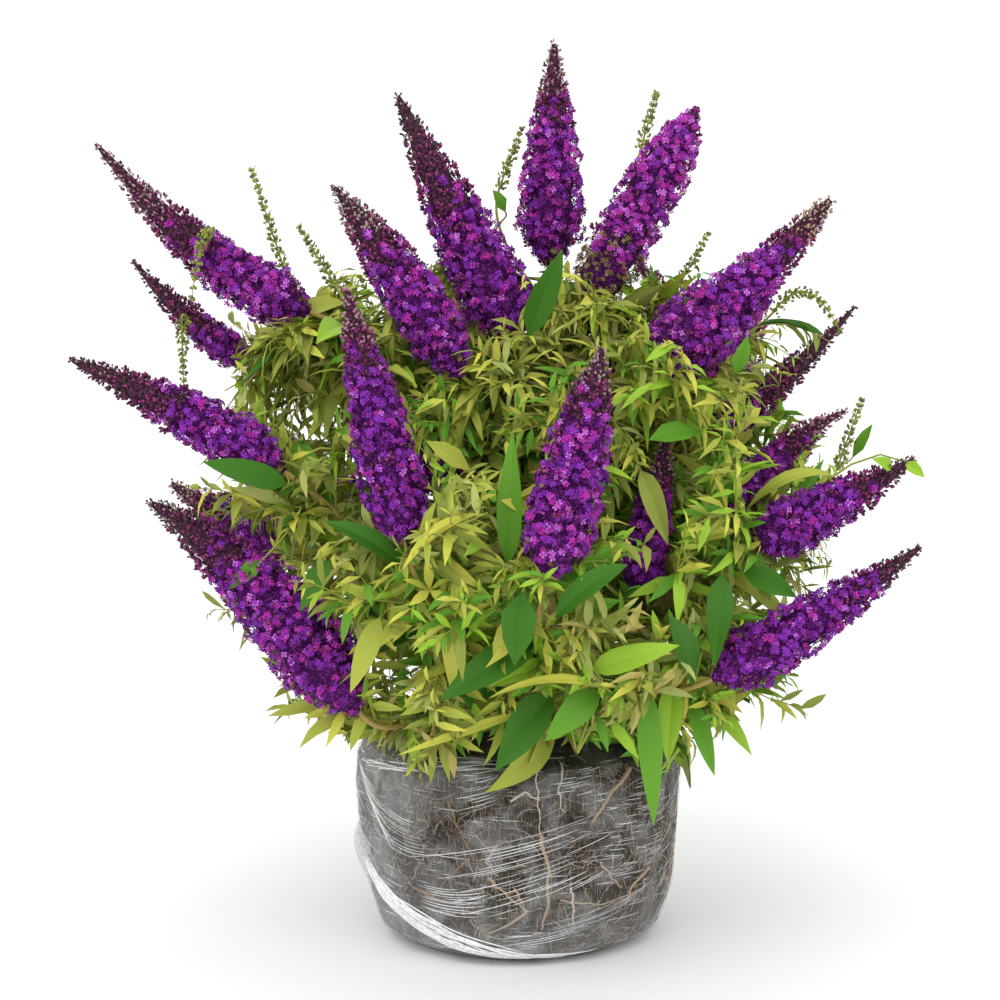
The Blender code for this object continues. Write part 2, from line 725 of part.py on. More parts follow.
def join(stem, pieces):
    """One Boolean union of a stem and the collection of everything that grows on it."""
    union = stem.modifiers.new("union", "BOOLEAN")
    union.operation = "UNION"
    union.operand_type = "COLLECTION"
    union.collection = pieces
    union.solver = "EXACT"
    union.material_mode = "TRANSFER"
    graph = bpy.context.evaluated_depsgraph_get()
    joined = bpy.data.meshes.new_from_object(stem.evaluated_get(graph))
    stem.modifiers.clear()
    stem.data = joined
    for piece in list(pieces.objects):
        bpy.data.objects.remove(piece)
    bpy.data.collections.remove(pieces)
    keep_largest_body(joined)


def body_round(vertex, unseen):
    """All the vertices joined to one by edges, which are taken out of the unseen ones."""
    body, front = {vertex}, [vertex]
    while front:
        here = front.pop()
        for edge in here.link_edges:
            other = edge.other_vert(here)
            if other in unseen:
                unseen.discard(other)
                body.add(other)
                front.append(other)
    return body


def keep_largest_body(data):
    """Drops every other body of a mesh, so that loose scraps go and sealed hollows are filled."""
    for method in ("BEAUTY", "EAR_CLIP"):
        shape = bmesh.new()
        shape.from_mesh(data)
        bmesh.ops.triangulate(shape, faces=shape.faces, ngon_method=method)
        unseen = set(shape.verts)
        bodies = []
        while unseen:
            bodies.append(body_round(unseen.pop(), unseen))
        bodies.sort(key=len)
        for body in bodies[:-1]:
            bmesh.ops.delete(shape, geom=list(body), context="VERTS")
        closed = all(len(edge.link_faces) == 2 for edge in shape.edges)
        if closed:
            shape.to_mesh(data)
        shape.free()
        if closed:
            return
    raise RuntimeError(f"{data.name} is not closed after its union")


def make_mass(mass, space, collection):
    """A cane's bough node and the foliage node that grows on from it."""
    curve, radius = cane_curve(mass)
    neck = NECK[mass.seat]
    path, radii = tube_along(curve, 0.0, neck, radius, radius * NECK_TAPER)
    bough = make_tube(f"bough_{mass.name}", path, radii, 1, collection)
    smooth_curve(bough)
    pieces = bpy.data.collections.new(f"pieces_{mass.name}")
    bpy.context.scene.collection.children.link(pieces)
    stem = None
    for number, (line, first, last) in enumerate(stems_of(mass)):
        gap = SEAT_GAP if number == 0 else 0
        path, radii = tube_along(line.curve, line.start, line.end, first, last, gap)
        if number < len(mass.spikes):
            path.append(spike_point(mass.spikes[number], STEM_IN_SPIKE))
            radii.append(STEM_TIP_RADIUS)
        elif number > 0:
            path.append(bud_path(mass.buds[number - len(mass.spikes)])[0][1])
            radii.append(BUD_CORE)
        tube = tube_as_mesh(make_tube(f"stem_{number}", path, radii, 0, pieces))
        if number == 0:
            stem = tube
    for spike in mass.spikes:
        solid_object("spike", spike_shape(spike), pieces, "blossom")
    for bud in mass.buds:
        solid_object("bud_spike", bud_shape(bud), pieces, "bud")
    grow(mass, space, pieces)
    pieces.objects.unlink(stem)
    collection.objects.link(stem)
    stem.name = f"foliage_{mass.name}"
    join(stem, pieces)


def smooth_curve(limb):
    for spline in limb.data.splines:
        spline.use_smooth = True


def main():
    for thing in list(bpy.data.objects):
        bpy.data.objects.remove(thing)
    make_materials()
    bush = bpy.data.collections.new("butterfly_bush")
    bpy.context.scene.collection.children.link(bush)
    ball = make_root_ball(bush)
    make_film_band(bush, ball)
    stool = make_stool(bush)
    space = Space((ball, stool))
    for mass in MASSES:
        make_mass(mass, space, bush)


main()
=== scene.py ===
"""Looks of a flowering butterfly bush on its film-wrapped root ball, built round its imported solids.

Metres, +Z up. The origin is the centre of the root ball's flat underside, and the photograph looks along +Y.
The limbs, leaves and flowers follow the rule of the solids: each cane stands on its seat of the stool, and
its mass grows from it by seeds, here carried to finer twigs and to flowers of their own shape.
"""

import logging
import math
import random
from dataclasses import dataclass, field
from enum import Enum
from typing import NamedTuple

import bpy
import numpy as np
from bpy.types import Material, Node, NodeSocket, NodeTree, Object
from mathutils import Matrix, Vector, noise


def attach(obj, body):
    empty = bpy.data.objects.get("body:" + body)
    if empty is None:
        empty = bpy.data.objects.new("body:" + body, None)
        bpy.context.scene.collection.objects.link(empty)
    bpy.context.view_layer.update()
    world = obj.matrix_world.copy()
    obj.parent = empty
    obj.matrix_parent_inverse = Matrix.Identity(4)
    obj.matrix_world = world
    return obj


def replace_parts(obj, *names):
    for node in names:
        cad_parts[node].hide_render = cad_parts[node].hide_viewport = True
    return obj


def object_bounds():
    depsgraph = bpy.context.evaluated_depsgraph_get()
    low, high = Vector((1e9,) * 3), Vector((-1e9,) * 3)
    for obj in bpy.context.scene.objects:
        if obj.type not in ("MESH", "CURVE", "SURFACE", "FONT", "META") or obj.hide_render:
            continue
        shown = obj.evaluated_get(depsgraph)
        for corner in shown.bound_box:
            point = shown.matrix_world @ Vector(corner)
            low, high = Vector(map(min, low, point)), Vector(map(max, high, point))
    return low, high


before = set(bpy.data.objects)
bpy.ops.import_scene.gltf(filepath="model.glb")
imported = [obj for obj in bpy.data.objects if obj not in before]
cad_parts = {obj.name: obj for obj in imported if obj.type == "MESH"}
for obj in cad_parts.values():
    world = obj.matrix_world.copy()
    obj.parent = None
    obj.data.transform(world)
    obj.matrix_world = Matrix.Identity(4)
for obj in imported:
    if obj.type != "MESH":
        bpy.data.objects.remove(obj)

LOG = logging.getLogger("butterfly_bush")
CAD_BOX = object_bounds()
MM = 0.001
UP = Vector((0.0, 0.0, 1.0))
SEAT_GAP = 0.3 * MM

# Root ball, stool and canes, as in the solids
BALL_RADIUS, BALL_HEIGHT, RIM_SHARE = 150 * MM, 195 * MM, 0.75
TOP_LAY = 100 * MM
STOOL_SIDES = 12
STOOL_FOOT = BALL_HEIGHT + SEAT_GAP
STOOL_RINGS = ((44 * MM, 0.0), (35 * MM, 9 * MM), (32 * MM, 22 * MM), (22 * MM, 32 * MM))
TOP_SEAT_RADIUS = 14.5 * MM
SHOULDER_CANE, TOP_CANE, FLANK_CANE = 5.2 * MM, 4.2 * MM, 3.4 * MM
NECK_TAPER = 0.72
STEM_TIP_RADIUS = 1.8 * MM
END_LENGTH = 2 * MM
REACH_SPIKE, SKIRT_DROOP = 0.30, 0.5
JOINT_STEP = 42 * MM
EARLIEST_BRANCH, BRANCH_LEAD, BRANCH_REACH = 0.4, 0.15, 0.35

# Crown limits, as in the solids
OWN_SPACE = 28 * MM
CELL_MIDDLE = 0.78
DOME_CENTRE = np.array((-5.0, 0.0, 385.0)) * MM
DOME_REACH = np.array((335.0, 300.0, 240.0)) * MM
LOWEST_LEAF = 85 * MM
BOX_SLACK = 12 * MM
LOWEST_OPENING = 310 * MM
TWIG_POINTS = 6

# Flower spikes, as in the solids
SPIKE_SHOULDER = 0.15
TAPER, SAG, TIP_SHARE = 2.25, 0.05, 0.75


class Part(Enum):
    """The parts of the crown that leaves, twigs and flowers are joined by."""

    TOP = "top"
    FRONT = "front"
    BACK = "back"


class Seat(Enum):
    """A kind of seat on the stool: how far its bough runs, and how straight its cane leaves it."""

    CENTRE = (0.48, 0.40)
    TOP = (0.40, 0.42)
    SHOULDER = (0.30, 0.34)
    FLANK = (0.30, 0.45)

    @property
    def neck(self) -> float:
        """The share of the cane that is bough."""
        return self.value[0]

    @property
    def leave(self) -> float:
        """How far the cane keeps to the way it leaves its seat."""
        return self.value[1]


class Tip(Enum):
    """The colour that the closed end of a flower spike has."""

    GREY = "grey"
    DARK = "dark"
    BROWN = "brown"
    TAN = "tan"
    MAUVE = "mauve"


class Spike(NamedTuple):
    """A flower spike in millimetres: its ends, thickness, taper and bow, and how it blooms."""

    base: tuple
    tip: tuple
    girth: float
    taper: float = TAPER
    sag: float = SAG
    bloom: float = 0.62
    magenta: float = 0.35
    end: Tip = Tip.GREY
    spent: float = 0.0
    veiled: bool = False


class Bud(NamedTuple):
    """A thin spike of closed buds in millimetres: its arch, and the flower spike that carries it, if any."""

    base: tuple
    tip: tuple
    arch: float = 0.0
    carrier: int | None = None


class Mass(NamedTuple):
    """One mass: where its cane stands, its spikes, the main one first, and its bud spikes."""

    name: str
    part: Part
    seat: Seat
    bearing: float
    spikes: tuple
    buds: tuple = ()


TOP, FRONT, BACK = Part.TOP, Part.FRONT, Part.BACK

MASSES = (
    Mass("top", TOP, Seat.CENTRE, 0, (
        Spike((27, 30, 620), (32, 60, 824), 62, bloom=0.66, magenta=0.5),), (
        Bud((-18, 62, 690), (2, 72, 742)),)),
    Mass("top_left", TOP, Seat.TOP, 244, (
        Spike((0, -50, 564), (-111, -10, 780), 70, 2.0, bloom=0.57, magenta=0.25, end=Tip.DARK),
        Spike((-51, -90, 535), (-167, -60, 702), 54, 3.0, sag=-0.05, bloom=0.57, end=Tip.BROWN),
        Spike((-59, -60, 418), (-94, -60, 513), 44, bloom=0.5, veiled=True))),
    Mass("upper_left", TOP, Seat.TOP, 192, (
        Spike((-190, -20, 583), (-383, 0, 734), 54, sag=0.11, bloom=0.54, magenta=0.55),
        Spike((-249, 60, 527), (-363, 90, 620), 34, sag=0.08, bloom=0.42, magenta=0.3, end=Tip.DARK)), (
        Bud((-210, 22, 600), (-245, 34, 708)),
        Bud((-168, 0, 606), (-201, 20, 656)),
        Bud((-278, -48, 660), (-294, -52, 600), 14, 0),
        Bud((-312, 42, 568), (-311, 40, 499), 6, 1))),
    Mass("left", FRONT, Seat.SHOULDER, 195, (
        Spike((-208, -130, 455), (-397, -120, 554), 55, 2.0, sag=-0.03, bloom=0.52, magenta=0.25,
              end=Tip.DARK),)),
    Mass("lower_left", FRONT, Seat.SHOULDER, 225, (
        Spike((-142, -170, 248), (-330, -110, 425), 79, 1.9, sag=-0.1, magenta=0.4, end=Tip.DARK),)),
    Mass("front_left", FRONT, Seat.SHOULDER, 255, (
        Spike((-98, -220, 405), (-150, -190, 626), 58, 2.4, sag=0.0, bloom=0.68, magenta=0.15,
              end=Tip.MAUVE),)),
    Mass("front", FRONT, Seat.SHOULDER, 285, (
        Spike((22, -250, 385), (69, -230, 581), 63, 3.0, bloom=0.72, magenta=0.4, end=Tip.BROWN),)),
    Mass("lower_right", FRONT, Seat.SHOULDER, 315, (
        Spike((168, -170, 277), (353, -150, 393), 57, sag=0.03, bloom=0.7, magenta=0.15, end=Tip.DARK),)),
    Mass("right_front", FRONT, Seat.SHOULDER, 345, (
        Spike((206, -120, 389), (351, -110, 464), 54, sag=0.02, bloom=0.65, end=Tip.DARK),)),
    Mass("right", FRONT, Seat.SHOULDER, 15, (
        Spike((179, -40, 396), (301, 10, 489), 36, sag=-0.09, bloom=0.5, magenta=0.6, end=Tip.MAUVE),
        Spike((171, 10, 467), (314, 70, 579), 34, sag=0.07, bloom=0.25, magenta=0.3, end=Tip.DARK)), (
        Bud((289, -30, 442), (311, -20, 503)),)),
    Mass("upper_right", TOP, Seat.TOP, 295.5, (
        Spike((116, -100, 545), (278, -60, 691), 82, 1.4, bloom=0.7, magenta=0.5, end=Tip.TAN),
        Spike((104, -130, 347), (131, -110, 489), 42, bloom=0.6, veiled=True)), (
        Bud((230, -22, 584), (290, -20, 566), 26),)),
    Mass("top_right", TOP, Seat.TOP, 347, (
        Spike((57, -20, 583), (162, 20, 766), 56, 6.0, sag=-0.02, bloom=1.2, magenta=0.85, spent=0.27),), (
        Bud((112, 52, 728), (126, 62, 776)), Bud((148, 50, 600), (174, 60, 646)))),
    Mass("back_right_top", BACK, Seat.TOP, 38.5, (
        Spike((170, 140, 466), (241, 205, 576), 64, bloom=0.6, veiled=True),
        Spike((160, 90, 542), (112, 130, 617), 37, bloom=0.5, magenta=0.7, end=Tip.MAUVE))),
    Mass("back_top", BACK, Seat.TOP, 90, (
        Spike((25, 150, 447), (35, 215, 611), 60, magenta=0.5, veiled=True),
        Spike((-30, 150, 484), (-79, 222, 603), 50, bloom=0.5, veiled=True))),
    Mass("back_left_top", BACK, Seat.TOP, 141, (
        Spike((-191, 130, 554), (-311, 180, 642), 44, sag=0.08, bloom=0.6, magenta=0.8, veiled=True),), (
        Bud((-130, 150, 530), (-150, 170, 590)),)),
    Mass("back_right", BACK, Seat.SHOULDER, 45, (Spike((180, 140, 370), (296, 232, 436), 62, bloom=0.55),)),
    Mass("back_right_low", BACK, Seat.SHOULDER, 75, (Spike((80, 190, 330), (118, 335, 430), 66),)),
    Mass("back", BACK, Seat.SHOULDER, 105, (Spike((-40, 200, 350), (-66, 345, 446), 64, magenta=0.5),)),
    Mass("back_left", BACK, Seat.SHOULDER, 135, (Spike((-140, 180, 340), (-232, 288, 426), 66, bloom=0.5),)),
    Mass("back_left_low", BACK, Seat.SHOULDER, 165, (Spike((-200, 90, 340), (-334, 128, 402), 60),)),
    Mass("front_skirt", FRONT, Seat.FLANK, 285, ()),
    Mass("left_skirt", FRONT, Seat.FLANK, 225, ()),
    Mass("right_skirt", FRONT, Seat.FLANK, 345, ()),
    Mass("back_skirt", BACK, Seat.FLANK, 105, ()),
)

SKIRT_END = {"front_skirt": (50, -182, 214), "left_skirt": (-120, -135, 216), "right_skirt": (178, -60, 216),
             "back_skirt": (-40, 180, 214)}


def linear(colour: str) -> tuple[float, float, float, float]:
    """Turn an sRGB hex colour into the linear values that a shader takes.

    Args:
        colour: Six hex digits after a hash.

    Returns:
        Linear red, green and blue, with an alpha of one.
    """
    shares = [int(colour[i:i + 2], 16) / 255 for i in (1, 3, 5)]
    values = [c / 12.92 if c <= 0.04045 else ((c + 0.055) / 1.055) ** 2.4 for c in shares]
    return values[0], values[1], values[2], 1.0


def add_node(tree: NodeTree, kind: str, settings: dict | None = None, links: dict | None = None) -> Node:
    """Add a shader node with its settings and links.

    Args:
        tree: The node tree of the material.
        kind: The node's type name.
        settings: Socket values under socket names or numbers, and node options under lower-case names.
        links: Output sockets under the names or numbers of the inputs that they feed.

    Returns:
        The new node.
    """
    node = tree.nodes.new(kind)
    for key, value in (settings or {}).items():
        if isinstance(key, str) and key[0].islower():
            setattr(node, key, value)
        else:
            node.inputs[key].default_value = value
    for key, source in (links or {}).items():
        tree.links.new(source, node.inputs[key])
    return node


def new_material(name: str) -> tuple[Material, NodeTree]:
    """Start a material, and give it with its node tree."""
    material = bpy.data.materials.new(name)
    material.use_nodes = True
    return material, material.node_tree


def set_inputs(material: Material, values: dict) -> Material:
    """Set or feed the Principled shader of a material.

    Args:
        material: The material.
        values: A socket, a hex colour or a number for each input, under its name.

    Returns:
        The material.
    """
    tree = material.node_tree
    shader = tree.nodes["Principled BSDF"]
    for name, value in values.items():
        if isinstance(value, NodeSocket):
            tree.links.new(value, shader.inputs[name])
        else:
            shader.inputs[name].default_value = linear(value) if isinstance(value, str) else value
    return material


def add_ramp(tree: NodeTree, source: NodeSocket, stops: tuple[tuple[float, str], ...]) -> NodeSocket:
    """Colour a value by stops.

    Args:
        tree: The node tree.
        source: The value's socket.
        stops: Places from 0 to 1, each with its hex colour.

    Returns:
        The colour output.
    """
    ramp = add_node(tree, "ShaderNodeValToRGB", links={"Fac": source})
    marks = ramp.color_ramp.elements
    while len(marks) < len(stops):
        marks.new(1.0)
    for mark, (place, colour) in zip(marks, stops):
        mark.position = place
        mark.color = linear(colour)
    return ramp.outputs["Color"]


def millimetres(size: float) -> float:
    """Give the texture scale whose pattern repeats about every so many millimetres."""
    return 1 / (size * MM)


def object_place(tree: NodeTree) -> NodeSocket:
    """Give the place on a piece, in metres, for a pattern to be read at."""
    return add_node(tree, "ShaderNodeTexCoord").outputs["Object"]


def add_noise(tree: NodeTree, place: NodeSocket, scale: float, **more: float) -> NodeSocket:
    """Add noise, with its detail, roughness or distortion where they are given."""
    settings = {"Scale": scale} | {name.title(): value for name, value in more.items()}
    return add_node(tree, "ShaderNodeTexNoise", settings, {"Vector": place}).outputs["Fac"]


def add_range(tree: NodeTree, value: NodeSocket, span: tuple[float, float],
              result: tuple[float, float]) -> NodeSocket:
    """Stretch a value from one span to another, held at its ends."""
    settings = {"From Min": span[0], "From Max": span[1], "To Min": result[0], "To Max": result[1]}
    return add_node(tree, "ShaderNodeMapRange", settings, {"Value": value}).outputs["Result"]


def add_sum(tree: NodeTree, first: NodeSocket, second: NodeSocket, clamp: bool = False) -> NodeSocket:
    """Add two values, and hold the sum to one where asked."""
    settings = {"operation": "ADD", "use_clamp": clamp}
    return add_node(tree, "ShaderNodeMath", settings, {0: first, 1: second}).outputs["Value"]


def add_bump(tree: NodeTree, height: NodeSocket, strength: float, depth_mm: float,
             invert: bool = False) -> NodeSocket:
    """Turn a height into a relief that is so many millimetres deep."""
    settings = {"invert": invert, "Strength": strength, "Distance": depth_mm * MM}
    return add_node(tree, "ShaderNodeBump", settings, {"Height": height}).outputs["Normal"]


def metres(point: tuple) -> Vector:
    """Turn a point in millimetres into metres."""
    return Vector(point) * MM


def bearing_vector(degrees: float) -> Vector:
    """Give the level direction of a bearing, counted from +X towards +Y."""
    angle = math.radians(degrees)
    return Vector((math.cos(angle), math.sin(angle), 0.0))


def unit(rows: np.ndarray) -> np.ndarray:
    """Scale the last axis of an array to length one."""
    return rows / np.maximum(np.linalg.norm(rows, axis=-1, keepdims=True), 1e-9)


def bezier(points: tuple, t: float) -> Vector:
    """Give the place at t on a cubic curve."""
    a, b, c, d = points
    s = 1 - t
    return a * s**3 + b * 3 * s * s * t + c * 3 * s * t * t + d * t**3


def bezier_direction(points: tuple, t: float) -> Vector:
    """Give the direction at t on a cubic curve."""
    a, b, c, d = points
    s = 1 - t
    return ((b - a) * s * s + (c - b) * 2 * s * t + (d - c) * t * t).normalized()


def bezier_length(points: tuple, start: float = 0.0, end: float = 1.0, pieces: int = 24) -> float:
    """Measure a stretch of a cubic curve."""
    marks = [bezier(points, start + (end - start) * i / pieces) for i in range(pieces + 1)]
    return sum((b - a).length for a, b in zip(marks, marks[1:]))


def spike_drop(spike: Spike) -> float:
    """Say how far a spike hangs below its straight line at its middle."""
    return spike.sag * (metres(spike.tip) - metres(spike.base)).to_2d().length


def spike_point(spike: Spike, s: float) -> Vector:
    """Give the place at a share of a spike's length."""
    return metres(spike.base).lerp(metres(spike.tip), s) - UP * spike_drop(spike) * 4 * s * (1 - s)


def spike_direction(spike: Spike, s: float = 0.0) -> Vector:
    """Give the way a spike runs at a share of its length."""
    return (metres(spike.tip) - metres(spike.base) - UP * 4 * (1 - 2 * s) * spike_drop(spike)).normalized()


def swell_at(s: np.ndarray | float, taper: np.ndarray | float) -> np.ndarray | float:
    """Give a spike's thickness at a share of its length, over its girth, as the solids have it."""
    return np.sqrt(np.minimum(1, s / SPIKE_SHOULDER)) * np.maximum(1 - s**taper, TIP_SHARE * np.sqrt(1 - s))


def seat_of(mass: Mass) -> tuple[Vector, Vector, float]:
    """Find where a mass's cane stands.

    Args:
        mass: The mass.

    Returns:
        The seat, the way the cane leaves it, and its radius there.
    """
    apothem = math.cos(math.pi / STOOL_SIDES)
    outward = bearing_vector(mass.bearing)
    waist, shoulder, top = STOOL_RINGS[1:]
    if mass.seat is Seat.CENTRE:
        return UP * (STOOL_FOOT + top[1] + SEAT_GAP), UP.copy(), TOP_CANE
    if mass.seat is Seat.TOP:
        return outward * TOP_SEAT_RADIUS + UP * (STOOL_FOOT + top[1] + SEAT_GAP), UP.copy(), TOP_CANE
    low, high, radius = waist, shoulder, FLANK_CANE
    if mass.seat is Seat.SHOULDER:
        low, high, radius = shoulder, top, SHOULDER_CANE
    middle = outward * apothem * (low[0] + high[0]) / 2 + UP * (STOOL_FOOT + (low[1] + high[1]) / 2)
    normal = (outward * (high[1] - low[1]) + UP * apothem * (low[0] - high[0])).normalized()
    return middle + normal * SEAT_GAP, normal, radius


def cane_curve(mass: Mass) -> tuple[tuple, float]:
    """Give a cane's whole line, from its seat to the base of its main spike, and its radius at the seat."""
    seat, away, radius = seat_of(mass)
    if mass.spikes:
        base, arrive = metres(mass.spikes[0].base), spike_direction(mass.spikes[0])
    else:
        base = metres(SKIRT_END[mass.name])
        arrive = (base - seat).to_2d().to_3d().normalized() - UP * SKIRT_DROOP
    span = (base - seat).length
    return (seat, seat + away * span * mass.seat.leave, base - arrive * span * REACH_SPIKE, base), radius


def tube_along(curve: tuple, start: float, end: float) -> list[Vector]:
    """Give a limb's points between two places on its curve, with straight ends, as in the solids."""
    count = max(2, round(bezier_length(curve, start, end) / JOINT_STEP))
    path = [bezier(curve, start)]
    path.append(path[0] + bezier_direction(curve, start) * END_LENGTH)
    for i in range(1, count):
        path.append(bezier(curve, start + (end - start) * i / count))
    last = bezier(curve, end)
    return path + [last - bezier_direction(curve, end) * END_LENGTH, last]


def joints_along(path: list[Vector]) -> list[tuple[Vector, Vector]]:
    """Give the middle of each straight piece of a stem, where leaves come out, with the stem's direction."""
    pieces = [(a, b) for a, b in zip(path, path[1:]) if (b - a).length > 3 * END_LENGTH]
    return [(a.lerp(b, 0.5), (b - a).normalized()) for a, b in pieces]


def bud_path(bud: Bud, pieces: int = 5) -> list[Vector]:
    """Give the axis of a bud spike."""
    base, tip = metres(bud.base), metres(bud.tip)
    return [base.lerp(tip, i / pieces) + UP * bud.arch * MM * 4 * i / pieces * (1 - i / pieces)
            for i in range(pieces + 1)]


def branch_curve(stem: tuple, base: Vector, arrive: Vector) -> tuple:
    """Give the side stem of a second spike or a bud spike, from the nearest good place of the main stem."""
    nearest = min((0.45 + 0.05 * i for i in range(11)), key=lambda t: (bezier(stem, t) - base).length)
    place = max(EARLIEST_BRANCH, nearest - BRANCH_LEAD)
    start = bezier(stem, place)
    reach = (base - start).length * BRANCH_REACH
    return start, start + bezier_direction(stem, place) * reach, base - arrive * reach, base


def carried_curve(spike: Spike, base: Vector, arrive: Vector) -> tuple:
    """Give the short stem of a bud spike that comes out of a flower spike beside it."""
    marks = (spike_point(spike, tenth / 10) for tenth in range(2, 9))
    start = min(marks, key=lambda mark: (mark - base).length)
    return start, start.lerp(base, BRANCH_REACH), base - arrive * (base - start).length * BRANCH_REACH, base


class Line(NamedTuple):
    """A stem that leaves grow on: its curve, the stretch that bears them, and its radius at each end."""

    curve: tuple
    start: float
    first: float
    last: float


def stems_of(mass: Mass) -> list[Line]:
    """Give the main stem and every side stem of a mass."""
    main, radius = cane_curve(mass)
    stems = [Line(main, mass.seat.neck, radius * NECK_TAPER, STEM_TIP_RADIUS * 1.4)]
    for spike in mass.spikes[1:]:
        side = branch_curve(main, metres(spike.base), spike_direction(spike))
        stems.append(Line(side, 0.0, STEM_TIP_RADIUS * 1.4, STEM_TIP_RADIUS))
    for bud in mass.buds:
        path = bud_path(bud)
        arrive = (path[1] - path[0]).normalized()
        side = branch_curve(main, path[0], arrive)
        if bud.carrier is not None:
            side = carried_curve(mass.spikes[bud.carrier], path[0], arrive)
        stems.append(Line(side, 0.0, STEM_TIP_RADIUS * 1.1, STEM_TIP_RADIUS * 0.6))
    return stems


def bearings(count: int) -> np.ndarray:
    """Give even bearings round a circle, in radians."""
    return np.arange(count) * 2 * math.pi / count


def ring_at(bearing: np.ndarray, radius: np.ndarray | float, height: float) -> np.ndarray:
    """Give the points of a level ring."""
    level = np.cos(bearing) * radius, np.sin(bearing) * radius
    return np.stack([*level, np.full(len(bearing), height)], axis=1)


def square_to(way: np.ndarray) -> tuple[np.ndarray, np.ndarray]:
    """Give two directions square to each row and to each other."""
    helper = np.where(np.abs(way[:, 2:]) > 0.9, (1.0, 0.0, 0.0), (0.0, 0.0, 1.0))
    first = unit(np.cross(way, helper))
    return first, np.cross(way, first)


def masses_in(part: Part) -> list[Mass]:
    """Give the masses of one part of the crown."""
    return [mass for mass in MASSES if mass.part is part]


class Sheaf:
    """Many small shapes gathered as arrays and made into one joined mesh."""

    def __init__(self) -> None:
        """Start with nothing."""
        self.points: list[np.ndarray] = []
        self.faces: list[tuple[np.ndarray, np.ndarray]] = []
        self.count = 0

    def add(self, points: np.ndarray, faces: np.ndarray, tones: np.ndarray | int) -> None:
        """Add shapes.

        Args:
            points: Their vertices, in rows of three.
            faces: Rows of vertex numbers, all rows of one length.
            tones: The finish number of each face, or one for all.
        """
        self.points.append(points.reshape(-1, 3))
        rows = faces.reshape(-1, faces.shape[-1])
        self.faces.append((rows + self.count, np.broadcast_to(np.asarray(tones, np.int32), len(rows))))
        self.count += len(self.points[-1])

    def build(self, name: str, finishes: list) -> Object:
        """Make the mesh, shaded smooth.

        Args:
            name: The piece's name.
            finishes: Its materials, in the order of their numbers.

        Returns:
            The piece.
        """
        blocks = [rows for rows, _ in self.faces]
        sizes = np.concatenate([np.full(len(rows), rows.shape[1]) for rows in blocks])
        corners = np.concatenate([rows.ravel() for rows in blocks])
        starts = np.concatenate([[0], np.cumsum(sizes)[:-1]])
        tones = np.concatenate([tones for _, tones in self.faces])
        mesh = bpy.data.meshes.new(name)
        mesh.vertices.add(self.count)
        mesh.vertices.foreach_set("co", np.concatenate(self.points).astype(np.float32).ravel())
        mesh.loops.add(len(corners))
        mesh.loops.foreach_set("vertex_index", corners.astype(np.int32))
        mesh.polygons.add(len(sizes))
        mesh.polygons.foreach_set("loop_start", starts.astype(np.int32))
        mesh.polygons.foreach_set("material_index", tones.astype(np.int32))
        mesh.update(calc_edges=True)
        mesh.polygons.foreach_set("use_smooth", np.full(len(sizes), True))
        for finish in finishes:
            mesh.materials.append(finish)
        piece = bpy.data.objects.new(name, mesh)
        bpy.context.scene.collection.objects.link(piece)
        LOG.info("%s: %d faces", name, len(sizes))
        return piece


def grid_faces(rows: int, columns: int, closed: bool) -> np.ndarray:
    """Number the quads between rows of vertices.

    Args:
        rows: How many rows of vertices there are.
        columns: How many vertices a row has.
        closed: Whether each row runs round to its start.

    Returns:
        The quads' vertex numbers.
    """
    across = np.arange(columns if closed else columns - 1)
    low = (np.arange(rows - 1) * columns)[:, None]
    near, far = across[None, :], ((across + 1) % columns)[None, :]
    high = low + columns
    return np.stack([low + near, low + far, high + far, high + near], axis=-1).reshape(-1, 4)


def add_tubes(sheaf: Sheaf, paths: np.ndarray, radii: np.ndarray, sides: int,
              tones: np.ndarray | int) -> None:
    """Add tubes that are all of one number of points, and open at their ends.

    Args:
        sheaf: Where they go.
        paths: Their axes, as tubes by points by three.
        radii: The radius at each point.
        sides: The number of sides.
        tones: The finish number of each tube, or one for all.
    """
    tubes, length = radii.shape
    tangent = unit(np.gradient(paths, axis=1))
    axis = np.eye(3)[np.abs(tangent).mean(axis=1).argmin(axis=1)][:, None, :]
    side = unit(np.cross(tangent, axis))
    other = np.cross(tangent, side)
    angle = bearings(sides)
    ring = side[:, :, None] * np.cos(angle)[:, None] + other[:, :, None] * np.sin(angle)[:, None]
    points = paths[:, :, None] + ring * radii[:, :, None, None]
    one = grid_faces(length, sides, True)
    faces = one[None] + (np.arange(tubes) * length * sides)[:, None, None]
    each = np.broadcast_to(np.asarray(tones, np.int32), tubes)
    sheaf.add(points, faces, np.repeat(each, len(one)))


@dataclass(frozen=True)
class Skin:
    """A plant skin of one plain colour, dealt out by spray, so that only its relief and gloss vary.

    The real grain is finer than a pixel of the photograph, so it is drawn a few times coarser.
    """

    name: str
    colour: str
    roughness: float
    grain_mm: float = 1.5
    relief_mm: float = 0.15
    shine: float = 0.15

    def build(self) -> Material:
        """Build the material."""
        material, tree = new_material(self.name)
        grain = add_noise(tree, object_place(tree), millimetres(self.grain_mm), detail=3.0)
        gloss = add_range(tree, grain, (0.0, 1.0), (self.roughness - 0.1, self.roughness + 0.1))
        return set_inputs(material, {
            "Base Color": self.colour, "Specular IOR Level": self.shine, "Roughness": gloss,
            "Normal": add_bump(tree, grain, 0.6, self.relief_mm)})


def soft_skin(name: str, colour: str, roughness: float = 0.75, relief_mm: float = 0.1,
              shine: float = 0.15) -> Skin:
    """Give the skin of a petal or a bud, whose grain is finer than a leaf's."""
    return Skin(name, colour, roughness, 0.6, relief_mm, shine)


